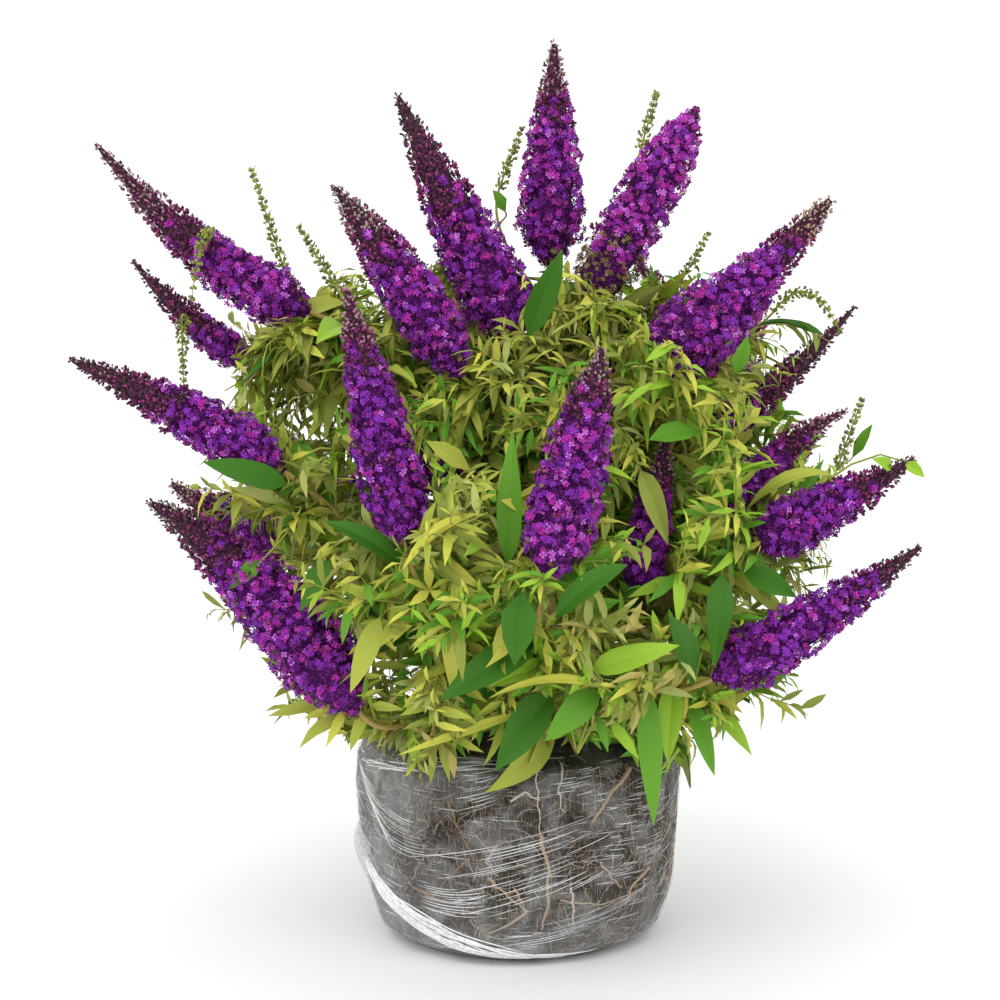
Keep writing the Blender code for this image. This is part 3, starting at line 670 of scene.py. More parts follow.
# Leaf blades: a thin waxy upper side with a quilted vein relief, and a paler felted underside
UPPER_LEAVES = (
    Skin("leaf_upper_deep_green", "#3c6e1e", 0.5),
    Skin("leaf_upper_fern_green", "#5f942c", 0.5),
    Skin("leaf_upper_lime_green", "#8fb636", 0.5),
    Skin("leaf_upper_olive", "#a0a844", 0.55),
    Skin("leaf_upper_moss", "#858f3e", 0.55),
    Skin("leaf_upper_straw_yellow", "#c2c350", 0.55),
    Skin("leaf_upper_tan", "#aaa05a", 0.6),
)
UNDER_LEAVES = (
    Skin("leaf_underside_grey_felt", "#a6ae62", 0.85, 0.8, 0.1),
    Skin("leaf_underside_yellow_felt", "#bdbd52", 0.85, 0.8, 0.1),
)
DEEP, FERN, LIME, OLIVE, MOSS, STRAW, TAN = range(7)
GREY_FELT, YELLOW_FELT = 7, 8

# Corollas: soft matt petals, with the closed buds darker and the oldest flowers brown. The lilac and the deep
# violet are partly the flowers' own tones and partly painted highlight and painted shade: lighter and darker
# copies of the violet, dealt among the florets.
PETALS = (
    soft_skin("petal_open_violet", "#8a32b0"),
    soft_skin("petal_open_magenta", "#b230a2"),
    soft_skin("petal_open_lilac", "#c46cd2"),
    soft_skin("petal_open_deep_violet", "#641a74"),
    soft_skin("petal_spent_brown", "#6e5a38", 0.85, 0.2, 0.1),
    soft_skin("petal_spent_tan", "#8f8050", 0.85, 0.2, 0.1),
    soft_skin("petal_spent_dark", "#40301f", 0.85, 0.2, 0.1),
)
VIOLET, MAGENTA, LILAC_HIGHLIGHT, DEEP_VIOLET_SHADE, SPENT, SPENT_TAN, SPENT_DARK = range(7)
BUDS = (
    soft_skin("bud_aubergine", "#943a74", 0.65, shine=0.2),
    soft_skin("bud_dark_aubergine", "#5e2a4e", 0.65, shine=0.2),
    soft_skin("bud_mauve", "#b08494", 0.7, shine=0.2),
    soft_skin("bud_grey_brown", "#a09084", 0.8, shine=0.2),
    soft_skin("bud_near_black", "#4c4043", 0.75, shine=0.2),
    soft_skin("bud_tan", "#b09a78", 0.8, shine=0.2),
)
AUBERGINE, DARK_AUBERGINE, MAUVE, GREY_BROWN, NEAR_BLACK, TAN_BUD, OPEN_CORE, CLOSED_CORE = range(8)
END_BUDS = {
    Tip.GREY: (MAUVE, GREY_BROWN, GREY_BROWN, DARK_AUBERGINE),
    Tip.DARK: (NEAR_BLACK, NEAR_BLACK, GREY_BROWN, DARK_AUBERGINE),
    Tip.BROWN: (GREY_BROWN, GREY_BROWN, MAUVE, NEAR_BLACK),
    Tip.TAN: (TAN_BUD, TAN_BUD, GREY_BROWN, MAUVE),
    Tip.MAUVE: (MAUVE, MAUVE, AUBERGINE, GREY_BROWN),
}
GREEN_BUDS = (
    soft_skin("green_bud_olive", "#97a04a", 0.7),
    soft_skin("green_bud_grey", "#747a58", 0.75),
    Skin("bud_stalk_green", "#8a9a3e", 0.6, 1.0, 0.1),
)
TWIG_SKINS = (
    Skin("young_stem_green", "#97a244", 0.55, 2.0, 0.1),
    Skin("ripe_stem_tan", "#a08c4e", 0.65, 2.0, 0.2),
)


@dataclass(frozen=True)
class PackedBuds:
    """The heart of a flower spike: bud against bud, seen only as beads deep between the open flowers,
    coloured dark as painted shade.
    """

    name: str
    # dark is the painted shade in the gaps between the beads, light the painted lit top of each bead
    dark: str
    light: str
    bead_mm: float = 3.0

    def build(self) -> Material:
        """Build the material: round cells stand out in relief, and their colour is painted shade, lighter on
        top and darker in the gaps.
        """
        material, tree = new_material(self.name)
        beads = add_node(tree, "ShaderNodeTexVoronoi", {"Scale": millimetres(self.bead_mm)},
                         {"Vector": object_place(tree)}).outputs["Distance"]
        return set_inputs(material, {
            "Base Color": add_ramp(tree, beads, ((0.1, self.light), (0.55, self.dark))), "Roughness": 0.8,
            "Specular IOR Level": 0.15, "Normal": add_bump(tree, beads, 1.0, 1.2, True)})


@dataclass(frozen=True)
class CaneBark:
    """Grey-brown bark of old canes, which splits and peels in long strips."""

    name: str = "cane_bark_stringy"
    dark: str = "#4a3a28"
    light: str = "#9c845c"
    strip_mm: float = 2.5

    def build(self) -> Material:
        """Build the material: strips run up the cane, pale where the bark has peeled."""
        material, tree = new_material(self.name)
        scale = millimetres(self.strip_mm)
        lay = add_node(tree, "ShaderNodeMapping", {"Scale": (scale, scale, scale * 0.12)},
                       {"Vector": object_place(tree)})
        strips = add_noise(tree, lay.outputs["Vector"], 1.0, detail=5.0, roughness=0.65)
        return set_inputs(material, {
            "Base Color": add_ramp(tree, strips, ((0.3, self.dark), (0.7, self.light))), "Roughness": 0.85,
            "Normal": add_bump(tree, strips, 0.9, 0.8)})


@dataclass(frozen=True)
class RootySoil:
    """Dark potting soil bound by hair roots: crumbs of peat with pale threads all through them."""

    name: str = "soil_bound_by_hair_roots"
    crumb_mm: float = 4.0
    thread_mm: float = 1.1
    threads: tuple = (
        ((0.5, 0.3, 0.0), "#70614f"), ((-0.6, 0.2, 1.1), "#8c7658"), ((0.2, -0.9, 2.0), "#5a4d3e"))

    def build(self) -> Material:
        """Build the material: crumbs give the dark mottle, and noise stretched three ways the threads."""
        material, tree = new_material(self.name)
        place = object_place(tree)
        crumbs = add_noise(tree, place, millimetres(self.crumb_mm), detail=8.0, roughness=0.72)
        soil = add_ramp(tree, crumbs, (
            (0.32, "#070504"), (0.47, "#15110e"), (0.58, "#2a231e"), (0.72, "#4d4238")))
        fine = millimetres(self.thread_mm)
        for turn, colour in self.threads:
            lay = add_node(tree, "ShaderNodeMapping", {"Rotation": turn, "Scale": (fine, fine, fine * 0.07)},
                           {"Vector": place})
            threads = add_noise(tree, lay.outputs["Vector"], 1.0, detail=2.0, distortion=0.4)
            share = add_range(tree, threads, (0.60, 0.66), (0.0, 0.8))
            soil = add_node(tree, "ShaderNodeMix", {"data_type": "RGBA", 7: linear(colour)},
                            {0: share, 6: soil}).outputs[2]
        return set_inputs(material, {"Base Color": soil, "Roughness": 0.8,
                                     "Normal": add_bump(tree, crumbs, 1.0, 1.5)})


@dataclass(frozen=True)
class StretchFilm:
    """Clear stretch film pulled tight: a thin haze, with white lines along its creases that are painted
    glints, and whiter on the left, partly haze and partly painted light.
    """

    name: str = "stretch_film_clear_drawn"
    patch_mm: float = 38.0
    crease_mm: float = 1.5
    crease_length_mm: float = 55.0
    hazy_below_mm: float = 75.0
    hazy_and_lit_bearing: float = 198.0
    lays: tuple = ((-24.0, 0.66, 0.8), (34.0, 0.68, 0.6), (-6.0, 0.68, 0.5), (75.0, 0.70, 0.35))

    def build(self) -> Material:
        """Build the material: its alpha is a patchy veil, more haze low down, a whiter stretch round the left
        bearing that is partly painted light, and lays of creases drawn white as painted glints, so the soil
        shows through.
        """
        material, tree = new_material(self.name)
        lay = add_node(tree, "ShaderNodeUVMap", {"uv_map": "film_lay"}).outputs["UV"]
        along, up, _ = add_node(tree, "ShaderNodeSeparateXYZ", links={"Vector": lay}).outputs
        hazy_and_lit = math.radians(self.hazy_and_lit_bearing) * BALL_RADIUS
        aside = add_node(tree, "ShaderNodeMath", {"operation": "SUBTRACT", 1: hazy_and_lit}, {0: along})
        off = add_node(tree, "ShaderNodeMath", {"operation": "ABSOLUTE"}, {0: aside.outputs["Value"]})
        veil = add_noise(tree, lay, millimetres(self.patch_mm), detail=5.0, distortion=0.8)
        alpha = add_range(tree, veil, (0.42, 0.72), (0.0, 0.2))
        alpha = add_sum(tree, alpha, add_range(tree, up, (self.hazy_below_mm * MM, 0.0), (0.0, 0.16)))
        # Whiter round the left bearing: the film's haze there, and painted light on the side the key falls
        # on.
        alpha = add_sum(tree, alpha, add_range(tree, off.outputs["Value"], (0.12, 0.02), (0.0, 0.14)))
        crease = (millimetres(self.crease_length_mm), millimetres(self.crease_mm), 1.0)
        relief = None
        # Each lay of creases adds white lines to the alpha: painted glints.
        for turn, least, strength in self.lays:
            turned = add_node(tree, "ShaderNodeMapping", {
                "Rotation": (0.0, 0.0, math.radians(turn)), "Scale": crease}, {"Vector": lay})
            lines = add_noise(tree, turned.outputs["Vector"], 1.0, detail=2.0, distortion=0.35)
            alpha = add_sum(tree, alpha, add_range(tree, lines, (least, least + 0.06), (0.0, strength)), True)
            relief = lines if relief is None else add_sum(tree, relief, lines)
        return set_inputs(material, {"Base Color": "#e9ebec", "Roughness": 0.16, "Alpha": alpha,
                                     "Normal": add_bump(tree, relief, 0.8, 0.8)})


@dataclass(frozen=True)
class BunchedFilm:
    """Stretch film gathered into ropes: many layers scatter the light, so it turns milky white and shiny. On
    the creases the same white is a painted glint.
    """

    name: str
    colour: str
    alpha: float

    def build(self) -> Material:
        """Build the material: fine pleats run in it, and thin spots let the soil through."""
        material, tree = new_material(self.name)
        pleats = add_noise(tree, object_place(tree), millimetres(4), detail=4.0)
        return set_inputs(material, {
            "Base Color": self.colour, "Roughness": 0.18, "Normal": add_bump(tree, pleats, 0.7, 0.5),
            "Alpha": add_range(tree, pleats, (0.3, 0.6), (self.alpha - 0.3, self.alpha))})


@dataclass(frozen=True)
class PaintedFloor:
    """Matt white painted board, the pale floor of a studio."""

    name: str = "floor_white_matt_paint"

    def build(self) -> Material:
        """Build the material: a slight roller texture keeps it from being glassy."""
        material, tree = new_material(self.name)
        stipple = add_noise(tree, object_place(tree), millimetres(3))
        return set_inputs(material, {"Base Color": "#f4f4f4", "Roughness": 0.9,
                                     "Normal": add_bump(tree, stipple, 0.1, 0.1)})


class Crease(NamedTuple):
    """A fan of film creases between two lines, with the bow, share of the line and girth of each."""

    first: tuple[tuple[float, float], tuple[float, float]]
    last: tuple[tuple[float, float], tuple[float, float]]
    bow: float
    count: int
    spans: tuple[float, float]
    girth: float


# Film creases, coloured white as painted glints: bearings in degrees and heights in millimetres on the film
CREASE_GROUPS = (
    Crease(((226, 100), (309, 156)), ((251, 41), (303, 92)), -3.0, 34, (0.15, 0.5), 0.28),
    Crease(((191, 176), (213, 152)), ((205, 140), (224, 89)), -3.0, 15, (0.5, 0.9), 0.35),
    Crease(((246, 180), (262, 188)), ((247, 146), (265, 164)), -1.0, 10, (0.4, 0.9), 0.22),
    Crease(((206, 150), (237, 132)), ((213, 108), (240, 103)), -6.0, 12, (0.4, 0.9), 0.22),
    Crease(((229, 77), (259, 82)), ((230, 54), (262, 53)), -5.0, 12, (0.4, 1.0), 0.3),
    Crease(((193, 173), (233, 186)), ((198, 167), (236, 179)), 2.0, 22, (0.12, 0.4), 0.45),
    Crease(((231, 189), (264, 192)), ((236, 181), (266, 188)), 2.0, 22, (0.15, 0.5), 0.35),
    Crease(((196, 150), (222, 138)), ((198, 60), (226, 44)), -3.0, 26, (0.12, 0.4), 0.2),
    Crease(((270, 188), (302, 190)), ((270, 163), (302, 170)), -2.0, 14, (0.15, 0.4), 0.16),
    Crease(((298, 162), (334, 156)), ((298, 84), (332, 84)), -2.0, 44, (0.12, 0.35), 0.14),
    Crease(((254, 34), (330, 74)), ((262, 20), (326, 52)), -4.0, 12, (0.3, 0.7), 0.16),
)

# Thick roots on the soil: bearings and heights, radius in millimetres, and skin
ROOTS = (
    (((275.5, 186), (276, 162), (277, 130)), 0.9, 0),
    (((277, 130), (280, 96), (280, 62), (278, 38)), 1.7, 1),
    (((258.5, 88), (264.5, 74), (272.5, 56)), 1.4, 1),
    (((268, 79), (272.5, 56)), 1.1, 1),
    (((272.5, 56), (265.5, 43), (258.5, 34)), 1.3, 1),
    (((312.5, 180), (303.5, 165), (295.5, 138)), 2.3, 1),
    (((244.5, 158), (248, 136), (252.5, 112)), 1.1, 2),
    (((288.5, 78), (289.5, 61), (290, 41)), 1.1, 0),
    (((323.5, 82), (314.5, 70), (312.5, 52)), 1.5, 1),
    (((299, 100), (304.5, 82), (309.5, 70)), 1.0, 1),
    (((252, 106), (242.5, 82), (235.5, 60)), 1.0, 2),
    (((267, 162), (271.5, 170), (276.5, 162)), 1.2, 0),
    (((286, 190), (283, 171), (284.5, 150)), 1.0, 0),
    (((284.5, 66), (300.5, 58), (320, 64)), 0.9, 1),
    (((262, 120), (258, 104), (262, 90)), 1.0, 1),
    (((228, 70), (240, 62), (252, 60)), 1.3, 2),
    (((10, 140), (24, 104), (31, 70)), 2.0, 1),
    (((60, 160), (52, 120), (58, 86), (49, 40)), 2.4, 1),
    (((96, 50), (110, 72), (118, 66)), 1.8, 2),
    (((140, 150), (132, 118), (137, 64)), 2.1, 1),
    (((170, 60), (160, 42), (150, 34)), 1.6, 1),
    (((345, 52), (352, 88), (356, 120)), 1.7, 2),
)


def ball_radius(bearing: np.ndarray, height: np.ndarray) -> np.ndarray:
    """Give the root ball's radius, as the solid has it.

    Args:
        bearing: Bearings in radians.
        height: Heights in metres.

    Returns:
        The radius at each place, in metres.
    """
    marks = (0.0, 0.07, 0.25, 0.48, 0.74, 0.88, 0.96, 1.0)
    share = np.clip(height / BALL_HEIGHT, 0, 1)
    ring = np.interp(share, marks, range(1, 9))
    radius = np.interp(share, marks, (0.70, 0.86, 0.94, 0.975, 1.0, 1.0, 0.95, RIM_SHARE)) * BALL_RADIUS
    lumps = np.clip(np.minimum(ring - 1, 8 - ring), 0, 1)
    return radius * (1 + lumps * 0.006 * (np.sin(3 * bearing + ring) + np.sin(5 * bearing - 1.7 * ring)))


def on_ball(bearing: np.ndarray, height: np.ndarray, lift: np.ndarray | float) -> np.ndarray:
    """Place points on the root ball's side.

    Args:
        bearing: Bearings in degrees.
        height: Heights in millimetres.
        lift: How far outside the surface they are, in millimetres.

    Returns:
        The points, in rows of three.
    """
    angle, rise = np.radians(bearing), np.asarray(height) * MM
    radius = ball_radius(angle, rise) + np.asarray(lift) * MM
    return np.stack([np.cos(angle) * radius, np.sin(angle) * radius, rise + 0 * radius], axis=-1)


@dataclass
class RootBall:
    """The soil of the root ball, its roots and hair roots, and the film round it."""

    around: int = 240
    side_rows: int = 70
    top_rows: int = 16
    crumb_relief_mm: float = 1.5
    film_lift_mm: float = 1.2
    hair_roots: int = 2400
    root_points: int = 26
    hair_points: int = 6
    creases: int = 260
    strands: int = 34
    band_from: float = 178.0
    band_to: float = 286.0

    def lathe(self, lift_mm: float, relief_mm: float, top_end: float) -> tuple[np.ndarray, np.ndarray]:
        """Make the rows of the side and the top of the ball, from its underside's rim to a ring on its top.

        Args:
            lift_mm: How far outside the solid's surface they are.
            relief_mm: How deep the crumbs are.
            top_end: The last ring's radius as a share of the ball's.

        Returns:
            The points and, for each, its place along the girth and up the side in metres.
        """
        bearing = bearings(self.around)
        girth = bearing * BALL_RADIUS
        rows, lays = [], []
        for height in np.linspace(0, 1, self.side_rows) * BALL_HEIGHT:
            radius = ball_radius(bearing, np.full(self.around, height)) + lift_mm * MM
            rows.append(ring_at(bearing, radius, max(height, 0.4 * MM)))
            lays.append(np.stack([girth, np.full(self.around, height)], axis=1))
        edge = RIM_SHARE * BALL_RADIUS + lift_mm * MM
        for i in range(1, self.top_rows + 1):
            s = i / self.top_rows
            rows.append(ring_at(bearing, edge + (top_end * BALL_RADIUS - edge) * s, BALL_HEIGHT - 0.2 * MM))
            lays.append(np.stack([girth, np.full(self.around, BALL_HEIGHT + s * TOP_LAY)], axis=1))
        points, lay = np.concatenate(rows), np.concatenate(lays)
        if relief_mm:
            swing = np.array([noise.fractal(Vector(p) * 90, 0.9, 2.1, 4) for p in points])
            ease = np.clip(points[:, 2] / (8 * MM), 0, 1)[:, None]
            outward = unit(points * (1, 1, 0) + (0, 0, 1e-6))
            outward[points[:, 2] > BALL_HEIGHT - 1 * MM] = (0, 0, 1)
            points = points + outward * ease * (swing[:, None] - 0.4) * relief_mm * MM
        return points, lay

    def build_soil(self) -> Object:
        """Build the soil with its crumbs, closed below and on top."""
        points, _ = self.lathe(0.0, self.crumb_relief_mm, 0.02)
        rows = self.side_rows + self.top_rows
        sheaf = Sheaf()
        sheaf.add(points, grid_faces(rows, self.around, True), 0)
        sheaf.add(np.zeros((0, 3)), np.arange(self.around)[None, ::-1] - len(points), 0)
        sheaf.add(np.zeros((0, 3)), np.arange(self.around)[None] - self.around, 0)
        return sheaf.build("soil", [RootySoil().build()])

    def build_film(self) -> Object:
        """Build the film: it covers the side, turns over the rim and ends in a ragged edge on the soil."""
        points, lay = self.lathe(self.film_lift_mm, 0.0, 0.72)
        rows = self.side_rows + self.top_rows
        outward = unit(points * (1, 1, 0))
        top = points[:, 2] > BALL_HEIGHT - 1 * MM
        outward[top] = (0, 0, 1)
        ridges = []
        for (u, v), on_top in zip(lay, top):
            drawn = noise.noise(Vector((u * 18 + v * 8, v * 190 - u * 85, 0)))
            cross = noise.noise(Vector((u * 60, v * 25, 7)))
            crumple = noise.noise(Vector((u * 170, v * 170, 3))) if on_top or v > 0.165 else 0.0
            ridges.append(0.55 * drawn + 0.35 * cross + 1.3 * crumple)
        points = points + outward * (np.array(ridges)[:, None] + 0.4) * MM
        share = np.clip((lay[:, 1] - BALL_HEIGHT) / TOP_LAY, 0, 1)
        tatter = np.array([noise.noise(Vector((u * 30, 0, 11))) + 0.6 * noise.noise(Vector((u * 110, 0, 5)))
                           for u in lay[:, 0]])
        points[:, :2] *= (1 + 0.13 * share * tatter)[:, None]
        points[:, 2] += share**2 * (2.5 + 3.0 * np.abs(tatter)) * MM
        points[:, 2] = np.maximum(points[:, 2], 0.3 * MM)
        sheaf = Sheaf()
        sheaf.add(points, grid_faces(rows, self.around, True), 0)
        piece = sheaf.build("film_wrap", [StretchFilm().build()])
        layer = piece.data.uv_layers.new(name="film_lay")
        corner = np.empty(len(piece.data.loops), np.int32)
        piece.data.loops.foreach_get("vertex_index", corner)
        place = lay[corner]
        column = corner % self.around
        last = np.repeat((column == self.around - 1).reshape(-1, 4).any(axis=1), 4)
        place[(column == 0) & last, 0] += 2 * math.pi * BALL_RADIUS
        layer.data.foreach_set("uv", place.astype(np.float32).ravel())
        return piece

    def build_roots(self) -> Object:
        """Build the roots on the soil: a few thick ones where they show, and hair roots everywhere."""
        rng = np.random.default_rng(41)
        sheaf = Sheaf()
        for marks, radius, tone in ROOTS:
            steps = np.linspace(0, 1, self.root_points)
            shares = np.linspace(0, 1, len(marks))
            wave = np.sin(steps * 17 + radius * 9) * 0.8 + np.sin(steps * 41) * 0.35
            bearing = np.interp(steps, shares, [mark[0] for mark in marks]) + wave * 0.35
            height = np.interp(steps, shares, [mark[1] for mark in marks]) + wave * 0.5
            path = on_ball(bearing, height, radius * 0.35)
            width = radius * MM * (1 - 0.55 * steps) * (1 + 0.15 * np.sin(steps * 60))
            add_tubes(sheaf, path[None], width[None], 6, tone)
        count = self.hair_roots
        steps = np.linspace(0, 1, self.hair_points)
        bearing = rng.uniform(0, 360, count)[:, None]
        height = rng.uniform(3, 190, count)[:, None]
        heading = rng.uniform(0, 2 * math.pi, count)[:, None]
        bend = rng.normal(0, 0.8, count)[:, None]
        length = rng.uniform(6, 34, count)[:, None]
        turned = heading + bend * steps
        along = np.cumsum(np.cos(turned), axis=1) / self.hair_points * length
        rise = np.cumsum(np.sin(turned), axis=1) / self.hair_points * length
        bearing = bearing + np.degrees(along * MM / BALL_RADIUS)
        height = np.clip(height + rise, 2, 193)
        paths = on_ball(bearing, height, 0.45)
        radii = (rng.uniform(0.12, 0.34, count)[:, None] * MM) * (1 - 0.5 * steps)
        add_tubes(sheaf, paths, radii, 3, rng.choice(3, count, p=(0.5, 0.3, 0.2)))
        skins = (Skin("hair_root_pale_grey", "#c0b8ae", 0.6), Skin("hair_root_tan", "#a8927a", 0.65),
                 Skin("root_bark_reddish_brown", "#84664a", 0.75, 1.0, 0.3))
        return sheaf.build("roots", [skin.build() for skin in skins])

    def build_creases(self) -> Object:
        """Build the film's raised creases, coloured white as painted glints: the fan of bright lines at the
        front, and others all round.
        """
        rng = np.random.default_rng(7)
        sheaf = Sheaf()
        steps = np.linspace(0, 1, 10)
        paths, radii = [], []
        for group in CREASE_GROUPS:
            for i in range(group.count):
                share = (i + rng.uniform(-0.3, 0.3)) / max(group.count - 1, 1)
                start, end = (np.array(pair[0]) + (np.array(pair[1]) - pair[0]) * share
                              for pair in ((group.first[0], group.last[0]), (group.first[1], group.last[1])))
                span = rng.uniform(*group.spans)
                along = rng.uniform(0, 1 - span) + span * steps
                bearing = start[0] + (end[0] - start[0]) * along
                height = start[1] + (end[1] - start[1]) * along + group.bow * 4 * along * (1 - along)
                paths.append(on_ball(bearing, np.clip(height, 1.5, 194), self.film_lift_mm + 0.5))
                radii.append(np.sin(steps * math.pi) ** 0.5 * rng.uniform(0.14, 0.16 + group.girth) * MM)
        for _ in range(self.creases):
            bearing, height = rng.uniform(325, 552), rng.uniform(6, 180)
            slope = rng.choice((-1, 1), p=(0.25, 0.75)) * rng.uniform(4, 26)
            run = rng.uniform(6, 24)
            rise = np.clip(height + slope * steps + 6 * steps * (1 - steps), 2, 192)
            paths.append(on_ball(bearing + run * steps, rise, self.film_lift_mm + 0.5))
            radii.append(np.sin(steps * math.pi) ** 0.5 * rng.uniform(0.1, 0.3) * MM)
        add_tubes(sheaf, np.array(paths), np.array(radii), 4, 0)
        return sheaf.build("film_creases", [BunchedFilm("film_crease_line", "#ffffff", 0.95).build()])

    def build_band(self) -> Object:
        """Build the bunched roll of film low on the ball: strands that part and meet, and a loose tail."""
        rng = np.random.default_rng(11)
        sheaf = Sheaf()
        steps = np.linspace(0, 1, 44)
        paths, radii = [], []
        for strand in range(self.strands):
            spread = rng.uniform(-1, 1)
            start, end = rng.uniform(0.0, 0.2), rng.uniform(0.5, 1.2)
            s = start + (end - start) * steps
            bearing = self.band_from + (self.band_to - self.band_from) * s
            fall = np.sin(np.clip(s, 0, 1) * math.pi / 2)
            wide = 10.5 * np.clip(np.sin(np.clip(s, 0.05, 0.9) * math.pi), 0.25, 1)
            height = 98 - 89 * fall + spread * wide + 1.3 * np.sin(s * 21 + strand)
            lift = 1.6 + 2.6 * (1 - spread**2) * rng.uniform(0.3, 1) + 0.5 * np.sin(s * 33 + 2 * strand)
            paths.append(on_ball(bearing, np.clip(height, 2.2, 190), lift))
            radii.append((rng.uniform(0.5, 1.5) * MM) * np.clip(np.sin(steps * math.pi) ** 0.4, 0.05, 1))
        add_tubes(sheaf, np.array(paths), np.array(radii), 5, 0)
        rows, columns = 16, 14
        u, v = np.meshgrid(np.linspace(0, 1, columns), np.linspace(0, 1, rows))
        bulge = np.sin(u * math.pi) * np.sin(v * math.pi) ** 0.8
        tail = on_ball(170 + 26 * u + 6 * v, 52 + 48 * v + 6 * np.sin(u * 4), 1.6 + 7.5 * bulge)
        sheaf.add(tail, grid_faces(rows, columns, False), 1)
        return sheaf.build("film_band_bunched", [
            BunchedFilm("film_bunched_milky", "#f8fafa", 0.92).build(),
            BunchedFilm("film_loose_fold", "#d5d8d9", 0.6).build()])

    def build_all(self) -> None:
        """Build the root ball's pieces and attach each to the root."""
        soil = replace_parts(self.build_soil(), "root_ball")
        film = self.build_film()
        roots = self.build_roots()
        creases = self.build_creases()
        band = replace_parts(self.build_band(), "film_band")
        for piece, slot in ((soil, "film_wrapped_soil"), (film, "stretch_film"), (roots, "film_wrapped_soil"),
                            (creases, "stretch_film"), (band, "stretch_film")):
            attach(piece, "root")


class Space:
    """Each mass's own space: round its middle, in the ragged dome, off openings, spikes and ball."""

    wide_leaf_mm = 15.0
    bare_share, veiled_bare_share = 0.8, 0.45
    front_until = 140 * MM
    openings_per_metre, opening_below = 20.0, -0.3
    ragged_per_metre, ragged_by = 12.0, 0.55

    def __init__(self) -> None:
        """Measure the middles of the masses and the axes of the spikes."""
        self.middles = np.array([bezier(cane_curve(mass)[0], CELL_MIDDLE) for mass in MASSES])
        spikes = [spike for mass in MASSES for spike in mass.spikes]
        spikes += [Spike(leaf.root, leaf.tip, leaf.width, 8.0, 0.0) for leaf in SHOWN
                   if leaf.width > self.wide_leaf_mm]
        self.base = np.array([spike.base for spike in spikes]) * MM
        self.reach = np.array([spike.tip for spike in spikes]) * MM - self.base
        self.girth = np.array([spike.girth for spike in spikes]) * MM / 2
        self.taper = np.array([spike.taper for spike in spikes])
        self.drop = np.array([spike_drop(spike) for spike in spikes])
        bare = {False: self.bare_share, True: self.veiled_bare_share}
        self.bare = np.array([bare[spike.veiled] for spike in spikes])
        middle = self.base + self.reach * 0.4
        outward = unit(middle * (1, 1, 0))
        front = (middle[:, 1] < self.front_until)[:, None]
        self.outward = unit(np.where(front, outward * (0.3, 0.3, 0.3) + (0, -1, 0.17), outward + (0, 0, 0.1)))

    def holds(self, owner: int, points: np.ndarray) -> bool:
        """Say whether points are in a mass's own space, in the dome and off the root ball."""
        between = np.delete(self.middles, owner, axis=0) - self.middles[owner]
        span = np.linalg.norm(between, axis=1)
        along = (points - self.middles[owner]) @ (between / span[:, None]).T
        if (along > span / 2 + OWN_SPACE).any():
            return False
        low, high = np.array(CAD_BOX)
        if (points < low - BOX_SLACK).any() or (points > high + BOX_SLACK).any():
            return False
        middle = points.mean(axis=0)
        open_here = noise.noise(Vector(middle * self.openings_per_metre)) < self.opening_below
        if middle[2] > LOWEST_OPENING and open_here:
            return False
        limit = 1 + self.ragged_by * noise.noise(Vector(middle * self.ragged_per_metre + 3))
        if (((points - DOME_CENTRE) / DOME_REACH) ** 2).sum(axis=1).max() > limit:
            return False
        low = points[:, 2] < BALL_HEIGHT + 3 * MM
        beside = np.hypot(points[:, 0], points[:, 1]) > BALL_RADIUS + 4 * MM
        return bool((~low | beside).all() and points[:, 2].min() > LOWEST_LEAF)

    def clear_of_spikes(self, points: np.ndarray, margin: float, open_face: bool = True) -> bool:
        """Say whether points miss every spike.

        Args:
            points: The points.
            margin: How far they keep off, in metres.
            open_face: Whether the spikes' outer faces stay open too.

        Returns:
            True where they do.
        """
        gap = points[:, None] - self.base
        s = np.clip((gap * self.reach).sum(axis=2) / (self.reach**2).sum(axis=1), 0, 1)
        off = gap - self.reach * s[..., None]
        off[..., 2] += self.drop * 4 * s * (1 - s)
        away = np.linalg.norm(off, axis=2)
        radius = self.girth * swell_at(s, self.taper) + margin
        if ((away < radius) & (s > 0.02)).any():
            return False
        if not open_face:
            return True
        out = (off * self.outward).sum(axis=2)
        beside = np.sqrt(np.maximum(away**2 - out**2, 0))
        before = (out > 0) & (out < 0.3) & (s > 0.1) & (s < 0.98)
        return not (before & (beside < radius * self.bare)).any()


class Blade(NamedTuple):
    """A leaf: root, tip, the way its upper side faces, width, lift of its arch, and two skins."""

    root: Vector
    tip: Vector
    normal: Vector
    width: float
    lift: float
    tone: int
    under: int


class Twig(NamedTuple):
    """A twig's path, its radius at each end, and its skin."""

    path: list
    first: float
    last: float
    skin: int


class Shown(NamedTuple):
    """A single leaf that stands out in the photograph: ends and width in millimetres, lift share and skin."""

    mass: str
    root: tuple
    tip: tuple
    width: float
    lift: float
    tone: int


